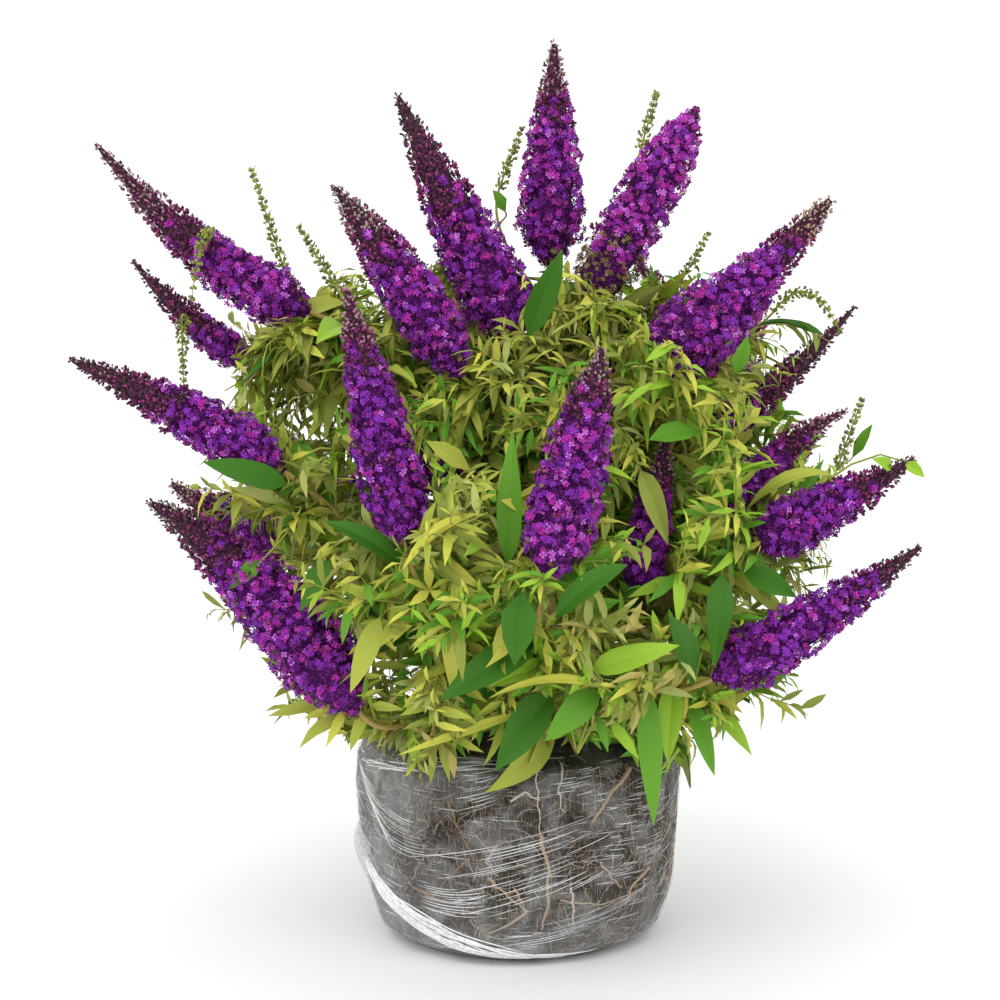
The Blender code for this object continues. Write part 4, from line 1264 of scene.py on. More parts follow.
SHOWN = tuple(Shown(*leaf) for leaf in (
    ("left", (-205, -148, 447), (-276, -172, 471), 24, 0.05, DEEP),
    ("front_left", (-100, -205, 384), (-168, -225, 428), 23, 0.12, DEEP),
    ("front_left", (-101, -248, 390), (-30, -250, 439), 12, 0.26, STRAW),
    ("front", (-11, -212, 387), (-7, -205, 504), 23, 0.04, FERN),
    ("top_left", (7, -92, 571), (37, -112, 649), 26, 0.08, DEEP),
    ("front", (1, -258, 373), (-6, -268, 311), 35, 0.08, DEEP),
    ("front", (29, -255, 350), (90, -262, 398), 25, 0.14, DEEP),
    ("front", (66, -232, 286), (-28, -250, 279), 13, 0.17, STRAW),
    ("front_skirt", (67, -205, 276), (21, -222, 234), 27, 0.08, FERN),
    ("front_skirt", (28, -195, 270), (-22, -212, 205), 38, 0.06, DEEP),
    ("left_skirt", (1, -190, 252), (-108, -205, 217), 9, 0.05, STRAW),
    ("lower_right", (60, -222, 297), (136, -235, 322), 24, 0.06, LIME),
    ("front_skirt", (66, -200, 252), (76, -212, 221), 10, 0.05, FERN),
    ("front_skirt", (77, -200, 249), (103, -212, 215), 11, 0.05, LIME),
    ("right_skirt", (109, -182, 274), (117, -196, 151), 23, 0.06, FERN),
    ("right_skirt", (135, -160, 271), (129, -185, 206), 24, 0.06, LIME),
    ("right_skirt", (151, -140, 251), (172, -160, 187), 18, 0.05, FERN),
    ("right_skirt", (179, -120, 236), (207, -135, 199), 15, 0.1, LIME),
    ("lower_right", (176, -165, 370), (169, -190, 292), 24, 0.06, DEEP),
    ("right_front", (196, -135, 368), (244, -150, 346), 26, 0.1, DEEP),
    ("right_front", (200, -105, 416), (279, -118, 449), 12, 0.3, OLIVE),
    ("right", (304, -15, 449), (321, -25, 482), 12, 0.06, FERN),
    ("right_front", (330, -112, 454), (309, -130, 467), 13, 0.1, LIME),
    ("right_front", (341, -112, 461), (357, -125, 449), 12, 0.12, LIME),
    ("lower_left", (-122, -212, 341), (-147, -232, 279), 20, 0.07, OLIVE),
    ("left_skirt", (-161, -150, 243), (-196, -160, 212), 12, 0.08, OLIVE),
    ("left_skirt", (-154, -155, 248), (-172, -165, 214), 10, 0.08, STRAW),
    ("left_skirt", (-136, -165, 246), (-150, -175, 213), 12, 0.08, OLIVE),
    ("front_left", (-78, -235, 370), (-81, -248, 402), 10, 0.1, STRAW),
    ("front_left", (-78, -235, 370), (-101, -248, 382), 9, 0.1, STRAW),
    ("front_left", (-78, -235, 370), (-96, -248, 359), 9, 0.1, STRAW),
    ("front_left", (-78, -235, 370), (-59, -248, 361), 9, 0.1, STRAW),
    ("front_left", (-78, -235, 370), (-54, -248, 383), 9, 0.1, OLIVE),
    ("upper_right", (157, -150, 494), (111, -165, 489), 26, 0.1, FERN),
    ("upper_right", (104, -170, 463), (128, -185, 400), 22, 0.08, MOSS),
    ("top_right", (109, -10, 593), (83, -20, 608), 14, 0.08, LIME),
    ("upper_right", (189, -118, 540), (199, -128, 576), 16, 0.05, FERN),
    ("left", (-166, -170, 384), (-192, -188, 341), 22, 0.06, DEEP),
    ("left", (-227, -150, 380), (-257, -160, 355), 16, 0.1, FERN),
    ("top", (-13, 35, 669), (-25, 30, 690), 14, 0.1, FERN),
    ("front_left", (-44, -190, 467), (-82, -205, 495), 18, 0.1, OLIVE),
    ("front", (16, -200, 425), (-18, -215, 445), 14, 0.14, STRAW),
))

CROWN_HEART = Vector((0.0, 0.0, 0.36))
MIDDLE_TONES = (
    (OLIVE, OLIVE, STRAW, MOSS, GREY_FELT),
    (OLIVE, STRAW, LIME, MOSS, YELLOW_FELT),
    (MOSS, OLIVE, TAN, MOSS, GREY_FELT),
    (FERN, MOSS, LIME, OLIVE, YELLOW_FELT),
)
FRESH_TONES = (
    (LIME, FERN, LIME, YELLOW_FELT, OLIVE),
    (LIME, OLIVE, STRAW, FERN, LIME),
    (FERN, LIME, FERN, GREY_FELT, MOSS),
)
LARGE_TONES = (FERN, DEEP, OLIVE, FERN, DEEP, LIME)


def tones_at(place: Vector, rng: random.Random) -> tuple[int, ...]:
    """Draw a spray's skins: olive and straw inside the crown, fresher green to the lower right."""
    fresh = 0.25 + 2.2 * (place.x - 0.5 * (place.z - 0.36))
    return rng.choice(FRESH_TONES if rng.random() < fresh else MIDDLE_TONES)


def pair_directions(along: Vector, turn: float) -> tuple[Vector, Vector]:
    """Give two opposite ways out of a stem at one joint."""
    side = along.cross(UP)
    side = side.normalized() if side.length > 0.1 else Vector((1, 0, 0))
    other = along.cross(side)
    first = side * math.cos(turn) + other * math.sin(turn)
    return first, -first


class Joint(NamedTuple):
    """A place on a stem where something grows: its mass and draws, and the turn and side of its pair."""

    mass: Mass
    owner: int
    rng: random.Random
    place: Vector
    along: Vector
    turn: float
    side: int


def slanted(joint: Joint, swing: float, leans: tuple[float, float]) -> Vector:
    """Draw a way out of a joint.

    Args:
        joint: The joint.
        swing: How far the pair may turn further round the stem.
        leans: Least and greatest angle from the stem, in degrees.

    Returns:
        The direction.
    """
    outward = pair_directions(joint.along, joint.turn + joint.rng.uniform(-1.0, 1.0) * swing)[joint.side]
    lean = math.radians(joint.rng.uniform(*leans))
    return joint.along * math.cos(lean) + outward * math.sin(lean)


@dataclass
class Growth:
    """The seeded rule of the solids, carried to finer twigs: what grows on each part of the crown."""

    space: Space = field(default_factory=Space)
    twig_length: tuple[float, float] = (80 * MM, 150 * MM)
    shoot_length: tuple[float, float] = (30 * MM, 68 * MM)
    large_leaf: tuple[float, float] = (68 * MM, 112 * MM)
    twig_leaf: tuple[float, float] = (38 * MM, 80 * MM)
    shoot_leaf: tuple[float, float] = (20 * MM, 42 * MM)
    twig_step: float = 13 * MM
    shoot_step: float = 9 * MM
    twig_radius: float = 1.4 * MM
    shoot_radius: float = 0.9 * MM
    fine_radius: float = 0.8 * MM
    leaf_lean: tuple[float, float] = (35, 80)
    twig_lean: tuple[float, float] = (32, 70)
    tries: int = 4
    blades: dict = field(default_factory=lambda: {part: [] for part in Part})
    twigs: dict = field(default_factory=lambda: {part: [] for part in Part})

    def leaf(self, joint: Joint, sizes: tuple[float, float], tones: tuple[int, ...],
             slender: float = 0.24) -> None:
        """Grow one leaf, if one of a few tries finds room.

        Args:
            joint: Where it comes out.
            sizes: Least and greatest length.
            tones: Skins that its upper side is drawn from.
            slender: Its width as a share of its length.
        """
        rng, start = joint.rng, joint.place
        for attempt in range(self.tries):
            aim = slanted(joint, 0.35 * attempt, self.leaf_lean) - UP * rng.uniform(-0.1, 0.7)
            aim.normalize()
            length = rng.uniform(*sizes) * (1 - 0.06 * attempt)
            lift = rng.uniform(0.04, 0.16) * length
            away = (start - CROWN_HEART).normalized()
            normal = (UP * 0.7 + away * 0.9 + aim.cross(UP) * rng.uniform(-0.8, 0.8)).normalized()
            tip = start + aim * length
            marks = np.array([start.lerp(tip, s) + normal * lift * 4 * s * (1 - s)
                              for s in (0.3, 0.6, 0.85, 1.0)])
            width = length * slender * rng.uniform(0.8, 1.2)
            if self.space.holds(joint.owner, marks) and self.space.clear_of_spikes(marks, width * 0.3):
                under = rng.choice((GREY_FELT, YELLOW_FELT))
                blade = Blade(start, tip, normal, width, lift, rng.choice(tones), under)
                self.blades[joint.mass.part].append(blade)
                return

    def side_twig(self, joint: Joint, sizes: tuple[float, float], radius: float) -> list[Vector]:
        """Grow one twig that leaves at a slant, rises a little and bows over, if it finds room.

        Args:
            joint: Where it comes out.
            sizes: Least and greatest length.
            radius: Its radius at its root.

        Returns:
            Its path, or an empty list.
        """
        rng = joint.rng
        for attempt in range(self.tries):
            aim = slanted(joint, 0.3 * attempt, self.twig_lean).normalized()
            length = rng.uniform(*sizes) * (1 - 0.08 * attempt)
            rise, fall = rng.uniform(0.0, 0.3), rng.uniform(0.1, 0.45)
            path = [joint.place + (aim * s + UP * (rise * s - fall * s * s)) * length
                    for s in np.linspace(0, 1, TWIG_POINTS)]
            marks = np.array(path[2:])
            if self.space.holds(joint.owner, marks) and self.space.clear_of_spikes(marks, 3 * MM):
                self.twigs[joint.mass.part].append(Twig(path, radius, radius * 0.4, rng.choice((0, 0, 1))))
                return path
        return []

    def dress(self, joint: Joint, path: list[Vector], sizes: tuple[float, float], tones: tuple[int, ...],
              with_shoots: bool = False) -> None:
        """Put pairs of leaves along a twig, and short shoots in the axils of some.

        Args:
            joint: Where the twig comes out.
            path: Its path.
            sizes: Least and greatest length of its leaves.
            tones: Skins that their upper sides are drawn from.
            with_shoots: Whether shoots grow on it.
        """
        length = sum((b - a).length for a, b in zip(path, path[1:]))
        count = max(2, round(length / (self.twig_step if with_shoots else self.shoot_step)))
        for i in range(1, count + 1):
            s = i / count * (len(path) - 1.001)
            low = int(s)
            here = path[low].lerp(path[low + 1], s - low)
            ahead = (path[low + 1] - path[low]).normalized()
            ease = 1.0 - 0.45 * (i / count) ** 2
            reach = (sizes[0] * ease, sizes[1] * ease)
            for side in (0, 1):
                axil = joint._replace(place=here, along=ahead, turn=math.pi / 2 * (i % 2), side=side)
                self.leaf(axil, reach, tones)
                if with_shoots and (i + side) % 2 == 0:
                    self.shoot(axil, self.fine_radius, tones)
        if not with_shoots:
            end = joint._replace(place=path[-1], along=(path[-1] - path[-2]).normalized(), turn=0.0, side=0)
            self.leaf(end, sizes, tones)

    def shoot(self, joint: Joint, radius: float, tones: tuple[int, ...]) -> None:
        """Grow a short leafy shoot, if it finds room."""
        path = self.side_twig(joint, self.shoot_length, radius)
        if path:
            self.dress(joint, path, self.shoot_leaf, tones)

    def grow(self) -> None:
        """Grow every mass: pairs of twigs and large leaves at each joint, and shoots between the joints."""
        for owner, mass in enumerate(MASSES):
            for number, line in enumerate(stems_of(mass)):
                joints = joints_along(tube_along(line.curve, line.start, 1.0))
                between = [(a[0].lerp(b[0], 0.5), b[1]) for a, b in zip(joints, joints[1:])]
                for step, (place, along) in enumerate(joints):
                    for side in (0, 1):
                        rng = random.Random(f"{mass.name} {number} {step} {side}")
                        self.branch_out(Joint(mass, owner, rng, place, along, math.pi / 2 * (step % 2), side))
                for step, (place, along) in enumerate(between):
                    for side in (0, 1):
                        rng = random.Random(f"{mass.name} {number} between {step} {side}")
                        self.fill_between(Joint(mass, owner, rng, place, along, 0.8 + step, side))

    def branch_out(self, joint: Joint) -> None:
        """Grow one side of a joint: a leafy twig, a large leaf beside it and a short shoot above it."""
        spray = tones_at(joint.place, joint.rng)
        twig = self.side_twig(joint, self.twig_length, self.twig_radius)
        if twig:
            self.dress(joint, twig, self.twig_leaf, spray, True)
        self.leaf(joint._replace(turn=joint.turn + 0.5), self.large_leaf, LARGE_TONES, 0.28)
        self.shoot(joint._replace(turn=joint.turn + 0.7), self.shoot_radius, spray)

    def fill_between(self, joint: Joint) -> None:
        """Grow one side between two joints: a short shoot, or a leafy twig on a skirt."""
        skirt = joint.mass.seat is Seat.FLANK
        twig = self.side_twig(joint, self.twig_length if skirt else self.shoot_length, self.shoot_radius)
        if twig:
            leaves = self.twig_leaf if skirt else self.shoot_leaf
            self.dress(joint, twig, leaves, tones_at(joint.place, joint.rng), skirt)

    def show(self) -> None:
        """Grow the single leaves that the photograph shows, each on a twig from its mass's nearest stem."""
        owners = {mass.name: owner for owner, mass in enumerate(MASSES)}
        for number, leaf in enumerate(SHOWN):
            owner = owners[leaf.mass]
            mass = MASSES[owner]
            root, tip = metres(leaf.root), metres(leaf.tip)
            marks = [mark for line in stems_of(mass) for mark in tube_along(line.curve, line.start, 1.0)]
            start = min(marks, key=lambda mark: (mark - root).length)
            aim, reach = (tip - root).normalized(), (root - start).length
            curve = (start, start.lerp(root, 0.35) + UP * 0.1 * reach, root - aim * reach * 0.3, root)
            path = [bezier(curve, s) for s in np.linspace(0, 1, TWIG_POINTS)]
            self.twigs[mass.part].append(Twig(path, 1.3 * MM, 0.8 * MM, 0))
            if reach > 30 * MM:
                rng = random.Random(f"shown {number}")
                tones = tones_at(root, rng)
                self.dress(Joint(mass, owner, rng, root, aim, 0.0, 0), path, self.shoot_leaf, tones)
            sideways = aim.cross(UP) * (0.4 if number % 2 else -0.4)
            normal = (UP * 0.6 + Vector((0, -0.9, 0)) + sideways).normalized()
            lift = leaf.lift * (tip - root).length
            blade = Blade(root, tip, normal, leaf.width * MM, lift, leaf.tone, GREY_FELT)
            self.blades[mass.part].append(blade)


@dataclass
class Foliage:
    """The leaves of one part of the crown, each a folded, arching blade, the large ones with an underside of
    their own.
    """

    part: Part
    large_from: float = 64 * MM
    large_rows: int = 7
    small_rows: int = 3
    thickness: float = 1.0 * MM
    knee: float = 0.42
    under_rim: float = 0.93
    twisting: float = 0.352
    waviness: float = 0.12

    def add_blades(self, sheaf: Sheaf, blades: list[Blade], rows: int, rng: np.random.Generator,
                   sides: int) -> None:
        """Add leaves as strips that the midrib parts: two halves above and, on the large ones, two below.

        Args:
            sheaf: Where they go.
            blades: The leaves.
            rows: How many faces long they are.
            rng: Draws for their folds and waves.
            sides: 2 for a leaf with an underside of its own, or 1.
        """
        count = len(blades)
        root = np.array([blade.root for blade in blades])[:, None]
        tip = np.array([blade.tip for blade in blades])[:, None]
        up = unit(np.array([blade.normal for blade in blades]))[:, None]
        width = np.array([blade.width for blade in blades])[:, None, None]
        lift = np.array([blade.lift for blade in blades])[:, None, None]
        s = np.linspace(0, 1, rows + 1)[None, :, None] ** 0.9
        knee = root + (tip - root) * self.knee + up * lift * 2
        centre = root * (1 - s) ** 2 + knee * 2 * s * (1 - s) + tip * s**2
        tangent = unit((knee - root) * (1 - s) + (tip - knee) * s)
        across = unit(np.cross(tangent, np.broadcast_to(up, tangent.shape)))
        twist = rng.normal(0, self.twisting, (count, 1, 1)) * s
        face = np.cross(across, tangent)
        turned = across * np.cos(twist) + face * np.sin(twist)
        across, face = turned, face * np.cos(twist) - across * np.sin(twist)
        half = width / 2 * np.maximum((s**0.7 * (1 - s) ** 0.95) / 0.323, 0.06 * (s < 0.5))
        fold = rng.uniform(0.1, 0.5, (count, 1, 1))
        wave = np.sin(s * rng.uniform(5, 9, (count, 1, 1)) + rng.uniform(0, 6, (count, 1, 1))) * self.waviness
        rims = [centre + (across * way * np.cos(fold) + face * (np.sin(fold) + wave * way)) * half
                for way in (1, -1)]
        keel = centre - face * self.thickness
        low = [keel + (rim - centre) * self.under_rim for rim in rims]
        strips = [centre, rims[0], rims[1], centre, low[0], keel, keel, low[1]][:4 * sides]
        points = np.stack([np.broadcast_to(strip, (count, rows + 1, 3)) for strip in strips], axis=1)
        one = np.arange(rows)
        strip_faces = []
        for strip in range(2 * sides):
            low, high = strip * 2 * (rows + 1) + one, (strip * 2 + 1) * (rows + 1) + one
            ring = np.stack([low, low + 1, high + 1, high], axis=-1)
            strip_faces.append(ring if strip < 2 else np.roll(ring, -1, axis=-1))
        firsts = (np.arange(count) * len(strips) * (rows + 1))[:, None, None]
        faces = np.concatenate(strip_faces)[None] + firsts
        skins = [[blade.tone for blade in blades], [blade.under for blade in blades]][:sides]
        sheaf.add(points, faces, np.repeat(np.array(skins).T, 2 * rows, axis=1).ravel())

    def build(self, blades: list[Blade], skins: list) -> Object:
        """Build the piece of leaves.

        Args:
            blades: The leaves of this part of the crown.
            skins: Their finishes.

        Returns:
            The piece.
        """
        rng = np.random.default_rng(len(blades))
        sheaf = Sheaf()
        large = [blade for blade in blades if (blade.tip - blade.root).length > self.large_from]
        small = [blade for blade in blades if (blade.tip - blade.root).length <= self.large_from]
        self.add_blades(sheaf, large, self.large_rows, rng, 2)
        self.add_blades(sheaf, small, self.small_rows, rng, 1)
        LOG.info("%s: %d large and %d small leaves", self.part.value, len(large), len(small))
        return sheaf.build(f"leaves_{self.part.value}", skins)


@dataclass
class Limbs:
    """The woody frame: the stool and canes in bark, and the twigs of each part of the crown."""

    cane_sides: int = 10
    ring_step: float = 6 * MM
    relief: float = 0.5 * MM
    stool_around: int = 72
    stool_rows: int = 26
    side_stem_points: int = 30

    def stool_points(self) -> np.ndarray:
        """Give the stool's rings: the solid's profile with knuckles and flutes for its corners."""
        bearing = bearings(self.stool_around)
        marks = [rise / STOOL_RINGS[-1][1] for _, rise in STOOL_RINGS]
        rows = []
        for share in np.linspace(0, 1, self.stool_rows):
            radius = np.interp(share, marks, [radius for radius, _ in STOOL_RINGS])
            flute = 1 + 0.02 * np.sin(12 * bearing + share * 3) + 0.03 * np.sin(5 * bearing - share * 4)
            rows.append(ring_at(bearing, radius * flute, STOOL_FOOT + share * STOOL_RINGS[-1][1]))
        top = rows[-1].copy()
        rows.append(top * (0.55, 0.55, 1))
        rows.append(top * (0.05, 0.05, 1))
        return np.array(rows)

    def build_canes(self) -> Object:
        """Build the stool and every cane up to its first flower, with the bark's relief."""
        sheaf = Sheaf()
        rings = self.stool_points()
        points = rings.reshape(-1, 3)
        rough = np.array([noise.fractal(Vector(p), 1.0, 2.0, 3) for p in points * (160, 160, 50)])
        points = points + unit(points * (1, 1, 0)) * rough[:, None] * 0.9 * MM
        sheaf.add(points, grid_faces(len(rings), rings.shape[1], True), 0)
        for mass in MASSES:
            curve, radius = cane_curve(mass)
            count = max(8, round(bezier_length(curve, 0.0, 1.0) / self.ring_step))
            shares = [i / count for i in range(count + 1)]
            path = np.array([bezier(curve, t) for t in shares])
            neck = mass.seat.neck
            radii = np.interp(shares, (0, neck, 1), (radius, radius * NECK_TAPER, STEM_TIP_RADIUS * 1.3))
            radii[0] *= 1.15
            rough = np.array([noise.noise(Vector(p) * 260) for p in path])
            nodes = 1 + 0.14 * np.exp(-((np.arange(count + 1) * self.ring_step % JOINT_STEP) / (4 * MM)) ** 2)
            tubes = Sheaf()
            girth = radii * nodes + rough * self.relief * 0.4
            add_tubes(tubes, path[None], girth[None], self.cane_sides, 0)
            skin = np.repeat((np.array(shares[:-1]) > neck + 0.12).astype(int), self.cane_sides)
            sheaf.add(tubes.points[0], tubes.faces[0][0], skin)
        return sheaf.build("canes", [CaneBark().build(), TWIG_SKINS[1].build()])

    def build_twigs(self, part: Part, twigs: list[Twig], skins: list) -> Object:
        """Build the side stems and twigs of one part of the crown.

        Args:
            part: The part.
            twigs: Its twigs.
            skins: Their finishes.

        Returns:
            The piece.
        """
        sheaf = Sheaf()
        steps = np.linspace(0, 1, TWIG_POINTS)
        paths = np.array([twig.path for twig in twigs])
        first = np.array([twig.first for twig in twigs])[:, None]
        last = np.array([twig.last for twig in twigs])[:, None]
        add_tubes(sheaf, paths, first + (last - first) * steps, 4, np.array([twig.skin for twig in twigs]))
        for mass in masses_in(part):
            for line in stems_of(mass)[1:]:
                path = np.array([bezier(line.curve, t) for t in np.linspace(0, 1, self.side_stem_points)])
                radii = np.linspace(line.first, line.last, self.side_stem_points)
                add_tubes(sheaf, path[None], radii[None], 6, 0)
        return sheaf.build(f"twigs_{part.value}", skins)


@dataclass
class Blossom:
    """The flower spikes of one part of the crown: whorls of clusters, in bloom below and in bud above."""

    part: Part
    whorl_step: float = 7.2 * MM
    cluster_radius: float = 5.4 * MM
    floret_radius: float = 3.0 * MM
    opening: float = 0.13
    core_share: float = 0.72
    core_pieces: int = 40
    golden_turn: float = 2.4
    florets: list = field(default_factory=list)
    closed: list = field(default_factory=list)

    def flower(self, spike: Spike, seed: str) -> None:
        """Set out one spike's clusters, with a floret or a bud at each place of each.

        Args:
            spike: The spike.
            seed: What its draws start from.
        """
        rng = random.Random(seed)
        whorls = max(8, round((metres(spike.tip) - metres(spike.base)).length / self.whorl_step))
        side = spike_direction(spike).orthogonal().normalized()
        for whorl in range(whorls):
            s = (whorl + 0.5) / whorls
            axis, ahead = spike_point(spike, s), spike_direction(spike, s)
            radius = spike.girth / 2 * MM * float(swell_at(s, spike.taper))
            size = min(self.cluster_radius, radius * 0.7)
            clusters = max(3, round(2 * math.pi * radius * 0.85 / (size * 1.7)))
            first = (side - ahead * side.dot(ahead)).normalized()
            second = ahead.cross(first)
            for i in range(clusters):
                angle = whorl * self.golden_turn + 2 * math.pi * i / clusters + rng.uniform(-0.25, 0.25)
                outward = first * math.cos(angle) + second * math.sin(angle)
                outward = (outward + ahead * rng.uniform(0.05, 0.45)).normalized()
                depth = max(radius - size * 0.8, 0.5 * MM) * rng.uniform(0.84, 1.12)
                place = axis + outward * depth + ahead * rng.uniform(-2, 2) * MM
                if self.cluster(spike, rng, place, outward, ahead, size, s):
                    # A floret in the deep violet of painted shade sits deeper in the spike behind each
                    # cluster in bloom.
                    deep = axis + outward * radius * 0.76
                    self.florets.append((deep, outward, self.floret_radius * 1.3, DEEP_VIOLET_SHADE, rng.random()))

    def cluster(self, spike: Spike, rng: random.Random, place: Vector, outward: Vector, ahead: Vector,
                size: float, s: float) -> bool:
        """Set out one cluster.

        Args:
            spike: The spike that it is on.
            rng: The spike's draws.
            place: The cluster's middle.
            outward: The way it faces.
            ahead: The spike's direction.
            size: Its radius.
            s: Its share of the spike's length.

        Returns:
            Whether it is in bloom.
        """
        share = min(max((spike.bloom - s) / (2 * self.opening) + 0.5, 0), 1) * 0.96
        is_open = rng.random() < share
        is_spent = s + rng.uniform(-0.07, 0.07) < spike.spent
        # Lilac florets are partly painted highlights and deep violet ones partly painted shade, dealt at
        # random among each cluster's tones.
        tones = (MAGENTA, MAGENTA, MAGENTA, LILAC_HIGHLIGHT, VIOLET, DEEP_VIOLET_SHADE)
        if rng.random() > spike.magenta:
            tones = (VIOLET, VIOLET, VIOLET, DEEP_VIOLET_SHADE, DEEP_VIOLET_SHADE, rng.choice((LILAC_HIGHLIGHT, MAGENTA, VIOLET)))
        for i in range(max(3, round((size / self.cluster_radius) ** 2 * (8 if is_open else 6)))):
            lean = rng.uniform(0.2, 1.35) if i else 0.0
            spin = i * self.golden_turn + rng.uniform(-0.4, 0.4)
            first = outward.orthogonal().normalized()
            way = outward * math.cos(lean)
            way += (first * math.cos(spin) + outward.cross(first) * math.sin(spin)) * math.sin(lean)
            spot = place + way * size * rng.uniform(0.75, 1.1)
            if is_spent:
                tone = rng.choice((SPENT, SPENT, SPENT_TAN, SPENT_DARK))
                self.florets.append((spot, way, self.floret_radius * 0.75, tone, rng.random()))
            elif is_open and rng.random() > 0.08:
                width = self.floret_radius * rng.uniform(0.75, 1.15)
                way = (way + Vector([rng.gauss(0, 0.25) for _ in range(3)])).normalized()
                self.florets.append((spot, way, width, rng.choice(tones), rng.random()))
            else:
                self.closed.append(self.bud(spike, rng, spot, (way + ahead * 0.5).normalized(), s))
        return is_open and not is_spent

    @staticmethod
    def bud(spike: Spike, rng: random.Random, spot: Vector, way: Vector, s: float) -> tuple:
        """Draw one closed bud: smaller, and nearer in colour to the spike's end, the later it will open.

        Args:
            spike: The spike that it is on.
            rng: The spike's draws.
            spot: Its place.
            way: The way it points.
            s: Its share of the spike's length.

        Returns:
            Its place, direction, half length and skin.
        """
        late = max(0.0, (s - spike.bloom) / max(1 - spike.bloom, 0.05)) + rng.uniform(-0.15, 0.15)
        tones = (AUBERGINE, DARK_AUBERGINE, DARK_AUBERGINE)
        if late > 0.3:
            tones = (AUBERGINE, DARK_AUBERGINE, *END_BUDS[spike.end][:2])
        if late > 0.6:
            tones = END_BUDS[spike.end]
        return spot, way, (2.9 - 0.9 * min(max(late, 0), 1)) * MM * rng.uniform(0.8, 1.2), rng.choice(tones)

    def add_florets(self, sheaf: Sheaf) -> None:
        """Add every open floret: four lobes round a sunken throat."""
        place = np.array([row[0] for row in self.florets])
        facing = unit(np.array([row[1] for row in self.florets]))
        radius = np.array([row[2] for row in self.florets])[:, None]
        tones = np.array([row[3] for row in self.florets])
        spin = np.array([row[4] for row in self.florets]) * math.pi
        first, second = square_to(facing)
        points = [place - facing * radius * 0.3]
        for lobe in range(4):
            for reach, across, rise in ((0.72, 0.40, 0.0), (0.98, 0.0, -0.12), (0.72, -0.40, 0.0)):
                angle = spin + lobe * math.pi / 2 + math.atan2(across, reach)
                out = math.hypot(reach, across) * radius
                points.append(place + (first * np.cos(angle)[:, None] + second * np.sin(angle)[:, None]) * out
                              + facing * radius * rise)
        one = np.array([[0, 1 + 3 * lobe, 2 + 3 * lobe, 3 + 3 * lobe] for lobe in range(4)])
        faces = one[None, :, ::-1] + (np.arange(len(place)) * 13)[:, None, None]
        sheaf.add(np.stack(points, axis=1), faces, np.repeat(tones, 4))

    def add_cores(self, sheaf: Sheaf, spike: Spike, seed: str) -> None:
        """Add a spike's heart, in two tubes that meet where its open flowers end.

        Args:
            sheaf: Where they go.
            spike: The spike.
            seed: What its draws start from.
        """
        rng = np.random.default_rng(list(seed.encode()))
        shares = np.linspace(0, 0.985, self.core_pieces + 1)
        path = np.array([spike_point(spike, s) for s in shares])
        radii = spike.girth / 2 * MM * swell_at(shares, spike.taper) * self.core_share
        radii *= rng.uniform(0.9, 1.08, len(shares))
        radii[0] = STEM_TIP_RADIUS
        turn = int(min(max(spike.bloom * self.core_pieces, 4), self.core_pieces - 4))
        add_tubes(sheaf, path[None, :turn + 1], radii[None, :turn + 1], 12, OPEN_CORE)
        add_tubes(sheaf, path[None, turn:], radii[None, turn:], 12, CLOSED_CORE)

    def build(self, petals: list, buds: list) -> list[Object]:
        """Build this part's florets, and its buds with the spikes' cores.

        Args:
            petals: The florets' finishes.
            buds: The buds' finishes.

        Returns:
            The two pieces.
        """
        open_sheaf, bud_sheaf = Sheaf(), Sheaf()
        for mass in masses_in(self.part):
            for number, spike in enumerate(mass.spikes):
                self.flower(spike, f"{mass.name} spike {number}")
                self.add_cores(bud_sheaf, spike, f"{mass.name} spike {number}")
        self.add_florets(open_sheaf)
        add_buds(bud_sheaf, self.closed, 0.5)
        LOG.info("%s: %d florets, %d buds", self.part.value, len(self.florets), len(self.closed))
        return [open_sheaf.build(f"florets_{self.part.value}", petals),
                bud_sheaf.build(f"buds_{self.part.value}", buds)]


def add_buds(sheaf: Sheaf, rows: list, slim: float) -> None:
    """Add closed buds, each a small eight-sided club.

    Args:
        sheaf: Where they go.
        rows: Their places, directions, half lengths and skins.
        slim: Their radius as a share of their half length.
    """
    place = np.array([row[0] for row in rows])
    way = unit(np.array([row[1] for row in rows]))
    size = np.array([row[2] for row in rows])[:, None]
    first, second = (side * slim for side in square_to(way))
    offsets = (-way, way, first + way * 0.2, second + way * 0.2, way * 0.2 - first, way * 0.2 - second)
    points = np.stack([place + offset * size for offset in offsets], axis=1)
    one = np.array([[1, 2, 3], [1, 3, 4], [1, 4, 5], [1, 5, 2], [0, 3, 2], [0, 4, 3], [0, 5, 4], [0, 2, 5]])
    faces = one[None] + (np.arange(len(place)) * 6)[:, None, None]
    sheaf.add(points, faces, np.repeat(np.array([row[3] for row in rows]), 8))


